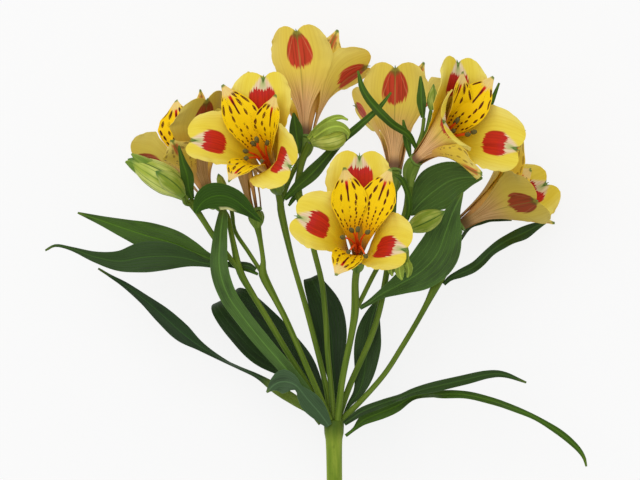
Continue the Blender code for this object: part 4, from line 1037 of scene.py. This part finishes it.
def bud_material(name, dark, light):
    """A bud between two greens, with darker lengthwise veins, a darker seam and a dark green tip."""
    paint = Paint(name, roughness=0.5, glow=0.05)
    s, cosine, sine = paint.read("place")
    tone = paint.read("about")[0]
    angle = sine.math("ARCTAN2", cosine)
    cloud = paint.noise(cosine * 1.3, sine * 1.3 + tone * 31, s * 2)
    fine = paint.noise(cosine * 4, sine * 4 + tone * 17, s * 3)
    vein = ((angle * 7.5 + (cloud - 0.5) * 1.5).math("SINE").size() + (fine - 0.5) * 0.5).rise(0.4, 0.08)
    seam = (angle * 1.5 + tone * 5).math("SINE").size().rise(0.14, 0.03)
    colour = paint.mix(cloud.rise(0.35, 0.65), rgb(*dark), rgb(*light))
    colour = paint.layers(
        colour,
        (vein * 0.7, rgb(112, 142, 42)),
        (s.rise(0.3, 0.02) * 0.6, rgb(104, 142, 48)),  # greener at the foot
        (s.rise(0.78, 0.98) * 0.85, rgb(70, 116, 46)),  # dark green at the tip
        (seam * s.rise(0.05, 0.3) * 0.9, rgb(66, 98, 26)),
    )
    return paint.finish(colour, vein * -0.5 + seam * -1 + fine * 0.3, depth=0.0003, strength=0.5)


def filament_material():
    """The orange filaments, with redder streaks."""
    paint = Paint("filament", roughness=0.45, glow=0.05)
    s, cosine, sine = paint.read("place")
    tone = paint.read("about")[0]
    cloud = paint.noise(cosine * 1.5, sine * 1.5 + tone * 31, s * 5)
    colour = paint.mix(cloud.rise(0.35, 0.65), rgb(238, 104, 28), rgb(222, 62, 20))
    colour = paint.mix(s.rise(0.25, 0.0) * 0.6, colour, rgb(206, 118, 60))
    return paint.finish(colour, cloud, depth=0.0001, strength=0.3)


def anther_material():
    """The olive anthers, grainy with pollen."""
    paint = Paint("anther", roughness=0.8)
    s, cosine, sine = paint.read("place")
    tone = paint.read("about")[0]
    grain = paint.noise(cosine * 6, sine * 6 + tone * 31, s * 14, 3.0)
    colour = paint.mix(grain.rise(0.35, 0.7), rgb(78, 74, 34), rgb(136, 126, 74))
    groove = sine.size().rise(0.2, 0.05)
    colour = paint.mix(groove * 0.6, colour, rgb(60, 54, 34))
    return paint.finish(colour, grain, depth=0.0003, strength=0.7)


def mucro_material():
    """The small green point at an outer tepal's end."""
    paint = Paint("mucro", roughness=0.5)
    s, cosine, sine = paint.read("place")
    tone = paint.read("about")[0]
    cloud = paint.noise(cosine * 2, sine * 2 + tone * 31, s * 4)
    colour = paint.mix(cloud.rise(0.3, 0.7), rgb(92, 128, 52), rgb(124, 148, 70))
    return paint.finish(paint.mix(s.rise(0.6, 1.0) * 0.6, colour, rgb(96, 84, 40)), cloud, depth=0.0001)


def leaf_grid(rows, twist=None):
    """A leaf's points: a shallow gutter along its midrib, with waved edges, twisted where the table says."""
    along = max(FEWEST_LEAF_STEPS, round(length_of(rows) / LEAF_STEP))
    line = smooth(rows, along + 1)
    run = np.linspace(0, 1, along + 1)
    ahead, side = carried(line[:, :3], np.cross(line[1, :3] - line[0, :3], (0, 0, 1)))
    normal = np.cross(side, ahead)
    roll = np.radians(np.interp(run, *zip(*twist)) if twist else run * 0)
    cos, sin = np.cos(roll)[:, None], np.sin(roll)[:, None]
    side, normal = side * cos + normal * sin, normal * cos - side * sin
    half = np.maximum(line[:, 3], LEAST_HALF_WIDTH) / np.cos(roll)
    half = half * np.minimum(1, np.sqrt((CLOSE_AT - run) * CLOSE_PACE))
    q = np.linspace(-1, 1, LEAF_ACROSS + 1)
    waves = np.sin(2 * math.pi * LEAF_WAVES * run[:, None] + LEAF_WAVE_SLANT * q) * q ** 2
    lift = LEAF_FOLD * (np.hypot(q, LEAF_FOLD_ROUND) - LEAF_FOLD_ROUND) * half[:, None]
    lift = lift + LEAF_WAVE * waves * (half / half.max())[:, None]
    out = half[:, None] * q
    grid = line[:, None, :3] + out[:, :, None] * side[:, None] + lift[:, :, None] * normal[:, None]
    return grid, run, q, half


def leaf_piece(name, material, shift):
    """One leaf of the table."""
    rows = LEAVES[name]
    grid, run, q, half = leaf_grid(rows, LEAF_TWISTS.get(name))
    mesh = Mesh()
    tone = random.Random(f"{SEED}{name}").random()
    mesh.blade(grid, run, q, half, length_of(rows), tone, LEAF_THICK, 0)
    mesh.piece(name, [material], shift)


def bloom_frame(axis):
    """The two directions across a bloom's axis from which angles round it are measured."""
    steep = abs(axis[2]) > 0.95
    up = unit(square_to(np.array((0, 1.0, 0) if steep else (0, 0, 1.0)), axis))
    return np.cross(up, axis), up


def claw_angles(bloom):
    """Angles of the claws round the axis: six even places, matched to the directions of the tips."""
    base, axis = np.array(bloom["base"]), unit(bloom["axis"])
    right, up = bloom_frame(axis)
    found = {}
    for whorl in ("outer", "inner"):
        reach = np.array(bloom[whorl])[:, :3] - base
        found[whorl] = np.degrees(np.arctan2(reach @ up, reach @ right)) % 360
    order = np.argsort(found["outer"])
    first = np.mean(found["outer"][order] - 120 * np.arange(3))
    outer = np.empty(3)
    outer[order] = first + 120 * np.arange(3)
    order = np.argsort(found["inner"])
    choices = []
    for turn in range(3):
        places = np.empty(3)
        places[order] = first + 60 + 120 * ((np.arange(3) + turn) % 3)
        miss = (found["inner"] - places + 180) % 360 - 180
        choices.append((np.sum(miss ** 2), turn, places))
    return {"outer": outer, "inner": min(choices)[2]}


def heart(q):
    """How far an outer tepal's end reaches past its midrib, in shares of its length."""
    inside = np.minimum(np.abs(q) / LOBE_AT, 1)
    outside = LOBE_REACH * np.clip((np.abs(q) - LOBE_AT) / (1 - LOBE_AT), 0, 1)
    return LOBE_RISE * (1 - (1 - inside) ** 2) - LOBE_FALL * (1 - np.sqrt(1 - outside ** 2))


def tepal_line(bloom, outer, angle, row):
    """A tepal's line from its claw through the tube to its tip, and the ways ahead, aside and inward."""
    base, axis = np.array(bloom["base"]), unit(bloom["axis"])
    right, up = bloom_frame(axis)
    tip, flare, roll = np.array(row[:3]), math.radians(row[3]), math.radians(row[5])
    first_out = right * math.cos(math.radians(angle)) + up * math.sin(math.radians(angle))
    start = base + first_out * (OUTER_ROOT if outer else INNER_ROOT) + axis * CLAW_START
    last_out = unit(square_to(tip - base, axis))
    far = np.linalg.norm(tip - start)
    claw = math.radians(CLAW_FLARE)
    first_way = axis * math.cos(claw) + first_out * math.sin(claw)
    last_way = axis * math.cos(flare) + last_out * math.sin(flare)
    t = np.linspace(0, 1, TEPAL_STEPS + 1)[:, None]
    curve = bezier(t, start, start + first_way * far * (OUTER_LEAD if outer else INNER_LEAD),
                   tip - last_way * far * TIP_LEAD, tip)
    ahead = unit(np.gradient(curve, axis=0))
    mix = 3 * t ** 2 - 2 * t ** 3
    side = np.cross(first_out * (1 - mix) + last_out * mix, axis)
    side = unit(side - ahead * np.sum(side * ahead, axis=1)[:, None])
    inward = np.cross(side, ahead)
    cos, sin = np.cos(roll * t), np.sin(roll * t)
    return curve, ahead, side * cos + inward * sin, inward * cos - side * sin


def ripple(x, waves, phase, swell):
    """Two waves along x laid over each other, the second a little lower."""
    return np.sin(waves[0] * x + phase) + 0.8 * np.sin(waves[1] * x + swell)


def tepal_relief(s, q, half, outer, phase, swell):
    """How far a tepal's face stands out: its ruffled edge, a soft swelling and the groove of its midrib.

    All three come in along its length, and an inner tepal's ruffles and groove are lower.
    """
    (long, across), (short, aslant) = RUFFLE_WAVES
    ruffle = RUFFLE * (np.sin(long * s + across * q + phase) + 0.5 * np.sin(short * s + aslant * q + swell))
    ruffle = ruffle * np.abs(q) ** 3 * np.clip(2 * s - 0.5, 0, 1) * (1 if outer else 0.6)
    swelling = SWELLING * np.sin(SWELL_WAVES[0] * s + swell) * np.sin(SWELL_WAVES[1] * q + phase) * s
    groove = -GROOVE * np.exp(-(half * q / GROOVE_WIDTH) ** 2) * np.clip(3 * s - 0.8, 0, 1)
    return ruffle + swelling + groove * (1 if outer else 0.5)


def tepal_grid(bloom, outer, angle, row, draw):
    """A tepal's points, their shares, half widths and length, and its end's place and ways."""
    base, axis, width = np.array(bloom["base"]), unit(bloom["axis"]), row[4]
    curve, ahead, side, inward = tepal_line(bloom, outer, angle, row)
    run = distances(curve)
    length = run[-1]
    along, across = OUTER_FINE if outer else INNER_FINE
    s = np.linspace(0, 1, along + 1) ** ROW_POWER
    q = np.linspace(-1, 1, across + 1)
    half = widths(OUTER_WIDTH if outer else INNER_WIDTH, s) * width
    middle = sampled(s * length, run, curve) - base
    round_axis = np.linalg.norm(middle - np.outer(middle @ axis, axis), axis=1)
    cup = np.clip(CUP * half / round_axis, LEAST_CUP, MOST_CUP)
    phase = draw.uniform(*WAVE_STARTS)
    swell = draw.uniform(*WAVE_STARTS)
    frayed = FRAY * ripple(s, SIDE_WAVES, phase, swell) * np.clip(3 * s - 1, 0, 1)
    lobes = heart(q) + FRAY * END_FRAY * ripple(q, END_WAVES, swell, phase) if outer else 0 * q
    place = s[:, None] * (1 + lobes * s[:, None] ** 3)
    relief = tepal_relief(s[:, None], q, half[:, None], outer, phase, swell) * width
    grid = np.empty(place.shape + (3,))
    for j, offset in enumerate(q):
        at = np.minimum(place[:, j], 1) * length
        beyond = np.maximum(place[:, j] - 1, 0) * length
        spot, forward, sideways, over = (sampled(at, run, table) for table in (curve, ahead, side, inward))
        reach = half * offset * (1 + frayed * offset ** 4)
        rise = cup * half * offset ** 2 + relief[:, j]
        grid[:, j] = spot + forward * beyond[:, None] + sideways * reach[:, None] + over * rise[:, None]
    return grid, s, q, half, length, (curve[-1], ahead[-1], inward[-1])


def mucro_line(tip, ahead, inward, width):
    """The line of the point at an outer tepal's end, which bends a little outward."""
    t = np.linspace(0, 1, MUCRO_STEPS)[:, None]
    long = MUCRO * width
    spot = tip - ahead * MUCRO_SINK + ahead * long * t - inward * long * MUCRO_BEND * t ** 2
    return np.column_stack([spot, MUCRO_RADIUS * (1 - MUCRO_TAPER * t[:, 0]) * width ** 0.5])


def bloom_piece(letter, bloom, materials, shift):
    """A bloom: the plate at its base, three outer and three inner tepals, and the points at their ends."""
    draw = random.Random(f"{SEED}{letter}")
    base, axis = np.array(bloom["base"]), unit(bloom["axis"])
    mesh = Mesh()
    plate = ((DISC_LOW, DISC_FOOT), (DISC_LOW + DISC_BEVEL, DISC_RADIUS),
             (DISC_HIGH - DISC_BEVEL, DISC_RADIUS), (DISC_HIGH, DISC_HEAD))
    mesh.tube(np.array([np.append(base + axis * high, radius) for high, radius in plate]), DISC_SIDES,
              draw.random(), 2)
    angles = claw_angles(bloom)
    for whorl in ("outer", "inner"):
        for angle, row in zip(angles[whorl], bloom[whorl]):
            outer = whorl == "outer"
            tone = draw.random()
            grid, s, q, half, length, end = tepal_grid(bloom, outer, angle, row, draw)
            mesh.blade(grid, s, q, half, length, tone, PETAL_THICK, 0 if outer else 1)
            if outer:
                mesh.tube(mucro_line(*end, row[4]), MUCRO_SIDES, tone, 2)
    mesh.piece(f"bloom_{letter}", materials, shift)


def furrowed(turn, _):
    """An anther's section: a little flattened, with a furrow down each side."""
    furrow = 1 - FURROW_DEPTH * np.exp(-(np.sin(turn) / FURROW_WIDTH) ** 2)
    return furrow * (1 - ANTHER_FLAT + ANTHER_FLAT * np.cos(turn) ** 2)


def stamen_piece(letter, bloom, materials, shift):
    """A short column with six filaments, each ending in a grainy anther."""
    base, axis = np.array(bloom["base"]), unit(bloom["axis"])
    low = unit(square_to(np.array(bloom["inner"][2][:3]) - base, axis))
    other = np.cross(axis, low)
    draw = random.Random(f"{SEED}{letter}")
    mesh = Mesh()
    foot = base + axis * (DISC_HIGH + GAP)
    column = np.array([np.append(foot, COLUMN_RADIUS),
                       np.append(base + axis * (COLUMN_TOP - COLUMN_NECK), COLUMN_RADIUS),
                       np.append(base + axis * COLUMN_TOP, COLUMN_HEAD)])
    mesh.tube(smooth(column, COLUMN_STEPS), COLUMN_SIDES, COLUMN_TONE, 0)
    for far, angle, height, root_angle in ANTHERS:
        around = math.radians(angle + draw.uniform(-ANTHER_TURN, ANTHER_TURN))
        out = low * math.cos(around) + other * math.sin(around)
        start = math.radians(root_angle)
        from_axis = (low * math.cos(start) + other * math.sin(start)) * FILAMENT_RING
        root = base + axis * (COLUMN_TOP - FILAMENT_SINK) + from_axis
        rise = height + draw.uniform(-ANTHER_SHIFT, ANTHER_SHIFT)
        tip = base + axis * rise + out * far * bloom["spread"]
        length = np.linalg.norm(tip - root)
        last_way = axis * LAST_RISE + out * LAST_LEAN * bloom["spread"]
        starts = 1 - ANTHER_LONG / length
        ways = (root, root + axis * length / 2, tip - last_way * length, tip)
        path = bezier(np.linspace(0, starts + FILAMENT_REACH, FILAMENT_STEPS)[:, None], *ways)
        radii = np.linspace(*(FILAMENT_RADIUS * factor for factor in FILAMENT_TAPER), len(path))
        mesh.tube(np.column_stack([path, radii]), FILAMENT_SIDES, around % 1, 0)
        path = bezier(np.linspace(starts, 1, ANTHER_STEPS)[:, None], *ways)
        radii = ANTHER_RADIUS * (1 - np.linspace(-ANTHER_CUT, ANTHER_CUT, len(path)) ** 2) ** ANTHER_ENDS
        mesh.tube(np.column_stack([path, radii]), ANTHER_SIDES, around % 1, 1, furrowed)
    mesh.piece(f"stamens_{letter}", materials, shift)


def ovary_line(bloom):
    """The ovary's line: it swells from inside its stalk's end, and curves to end under the bloom's base."""
    axis = unit(bloom["axis"])
    foot = np.array(bloom["ovary"])
    top = np.array(bloom["base"]) + axis * (DISC_LOW - GAP)
    knee = top - axis * OVARY_BEND * np.linalg.norm(top - foot)
    foot = foot - unit(knee - foot) * OVARY_SINK
    t = np.array(OVARY_PLACES)[:, None]
    curve = (1 - t) ** 2 * foot + 2 * (1 - t) * t * knee + t ** 2 * top
    curve = np.vstack([curve, top - axis * OVARY_NECK, top])
    return smooth(np.column_stack([curve, OVARY_RADII]), OVARY_STEPS)


def ribbed(turn, run):
    """Six ribs along an ovary, which fade at its foot."""
    return 1 + RIB_HEIGHT * np.cos(OVARY_RIBS * turn) * np.clip(3 * run, 0, 1)


def ray_piece(name, runs, materials, shift):
    """A ray with its side branches, and the ribbed ovary under each bloom that it bears."""
    draw = random.Random(f"{SEED}{name}")
    mesh = Mesh()
    for run in runs:
        line = smooth(run, max(FEWEST_RAY_STEPS, round(length_of(run) / STALK_STEP)))
        onward = unit(line[-1, :3] - line[-2, :3]) * RAY_REACH
        line = np.vstack([line, line[-1] + np.append(onward, -RAY_THINNING)])
        mesh.tube(line, RAY_SIDES, draw.random(), 0)
    for bloom in BLOOMS.values():
        if bloom["ray"] == name:
            mesh.tube(ovary_line(bloom), OVARY_SIDES, draw.random(), 1, ribbed)
    mesh.piece(name, materials, shift)


def folded(turn, run):
    """A bud's section: three tepals folded over each other, with low keels between the seams."""
    swell = np.clip(np.sin(math.pi * np.clip(run, 0, 1)) * 1.4, 0, 1)
    keel = KEEL_HEIGHT * np.cos(3 * turn) + FOLD_HEIGHT * np.cos(9 * turn + 4 * run)
    seam = -SEAM_DEPTH * np.exp(-(np.sin(1.5 * turn + 0.6) / SEAM_WIDTH) ** 2)
    return 1 + (keel + seam) * swell


def bud_piece(name, rows, tip, materials, shift):
    """A closed bud with three keels, drawn out to its pointed tip."""
    draw = random.Random(f"{SEED}{name}")
    body = smooth(rows, BUD_STEPS)
    way = unit(body[-1, :3] - body[-2, :3])
    share = np.linspace(0, 1, BUD_TIP_STEPS)[1:]
    radii = body[-1, 3] * (1 - share) ** TIP_ROUND + TIP_RADIUS
    point = np.column_stack([body[-1, :3] + way * tip * share[:, None], radii])
    mesh = Mesh()
    mesh.tube(np.vstack([body, point]), BUD_SIDES, draw.random(), 0, folded)
    for spike in BUD_POINTS.get(name, ()):
        mesh.tube(smooth(spike, POINT_STEPS), POINT_SIDES, draw.random(), 2)
    for bract in BUD_BRACTS.get(name, ()):
        grid, run, q, half = leaf_grid(bract)
        mesh.blade(grid, run, q, half, length_of(bract), draw.random(), LEAF_THICK, 1)
    mesh.piece(name, materials, shift)


def stem_shift():
    """Where the tables' origin lies in the frame, from the stalk's own box there."""
    low = np.array(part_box("main_stem")[0]) / MM
    return low - rings(np.array(STEM, float), turns(STEM_SIDES)).min(axis=0)


def stalk_piece(materials, shift):
    """The bare stalk with its cut end and the low dome of its whorl."""
    line = smooth(STEM, round(length_of(STEM) / STALK_STEP))
    mesh = Mesh()
    mesh.tube(np.vstack([line, WHORL_DOME]), STALK_SIDES, STALK_TONE, 0)
    mesh.piece("main_stem", materials, shift)


def object_pieces(shift):
    """Every piece of the stem."""
    # The outer tepals' material twice: once plain and once with an olive painted shade for blooms that lie
    # further back
    outer = {"unshaded": outer_material("unshaded", 0.0), "shaded": outer_material("shaded", 0.34)}
    inner, mucro = inner_material(), mucro_material()
    filament, anther = filament_material(), anther_material()
    stalk = stalk_material("stalk", (106, 132, 34), (144, 162, 56), 0.8)
    ray = stalk_material("ray", (70, 96, 22), (104, 126, 40))
    ovary = stalk_material("ovary", (80, 108, 30), (122, 146, 60))
    stalk_piece([stalk], shift)
    for name, runs in RAYS.items():
        ray_piece(name, runs, [ray, ovary], shift)
    for look, names in LEAF_LOOKS.items():
        material = leaf_material(look, *LEAF_GREENS[look], LEAF_PATCHES.get(look))
        for name in names:
            leaf_piece(name, material, shift)
    pale_bud = bud_material("bud_pale", (162, 176, 64), (206, 214, 116))
    green_bud = bud_material("bud_green", (124, 142, 42), (170, 180, 86))
    bract = leaf_material("bract", (150, 174, 64), (164, 184, 92))
    point = stalk_material("point", (84, 120, 32), (150, 168, 70))
    for name, (rows, tip) in BUDS.items():
        body = pale_bud if name in PALE_BUDS else green_bud
        bud_piece(name, rows, tip, [body, bract, point], shift)
    for letter, bloom in BLOOMS.items():
        # Blooms that lie further back take the outer material with painted shade
        shading = "shaded" if letter in SHADED_BLOOMS else "unshaded"
        bloom_piece(letter, bloom, [outer[shading], inner, mucro], shift)
        if bloom["spread"]:
            stamen_piece(letter, bloom, [filament, anther], shift)


def ground():
    """The pale glowing floor."""
    paint = Paint("floor", roughness=0.9)
    paint.shader.inputs["Base Color"].default_value = (FLOOR_SHADE, FLOOR_SHADE, FLOOR_SHADE, 1)
    paint.shader.inputs["Emission Color"].default_value = (1, 1, 1, 1)
    paint.shader.inputs["Emission Strength"].default_value = FLOOR_GLOW
    mesh = bpy.data.meshes.new("floor")
    corners = [(x * FLOOR_REACH, y * FLOOR_REACH, 0) for x, y in ((-1, -1), (1, -1), (1, 1), (-1, 1))]
    mesh.from_pydata(corners, [], [(0, 1, 2, 3)])
    mesh.materials.append(paint.material)
    placed("floor", mesh)


def lights():
    """Even white light from all round, and a large softbox above, to the left."""
    world = bpy.data.worlds.new("studio")
    world.use_nodes = True
    sky = world.node_tree.nodes["Background"]
    sky.inputs["Color"].default_value = (1, 1, 1, 1)
    sky.inputs["Strength"].default_value = SKY_LIGHT
    bpy.context.scene.world = world
    light = bpy.data.lights.new("softbox", "AREA")
    light.shape = "SQUARE"
    light.size = LAMP_SIZE
    light.energy = LAMP_POWER
    lamp = placed("softbox", light)
    lamp.location = LAMP_PLACE
    lamp.rotation_euler = [math.radians(angle) for angle in LAMP_LEAN]


def camera(shift):
    """The camera straight above, which shows the whorl at its pixel of the photograph."""
    data = bpy.data.cameras.new("camera")
    data.sensor_width = SENSOR
    data.lens = SENSOR * (CAMERA_HEIGHT - STEM[-1][2]) / (PICTURE[0] * PIXEL)
    data.clip_end = FAR_LIMIT
    middle_x = shift[0] - (WHORL_PIXEL[0] - PICTURE[0] / 2) * PIXEL
    middle_y = shift[1] + (WHORL_PIXEL[1] - PICTURE[1] / 2) * PIXEL
    eye = placed("camera", data)
    eye.location = (middle_x * MM, middle_y * MM, CAMERA_HEIGHT * MM)
    bpy.context.scene.camera = eye
    bpy.context.scene.view_settings.view_transform = "Standard"


SHIFT = stem_shift()
object_pieces(SHIFT)
ground()
lights()
camera(SHIFT)
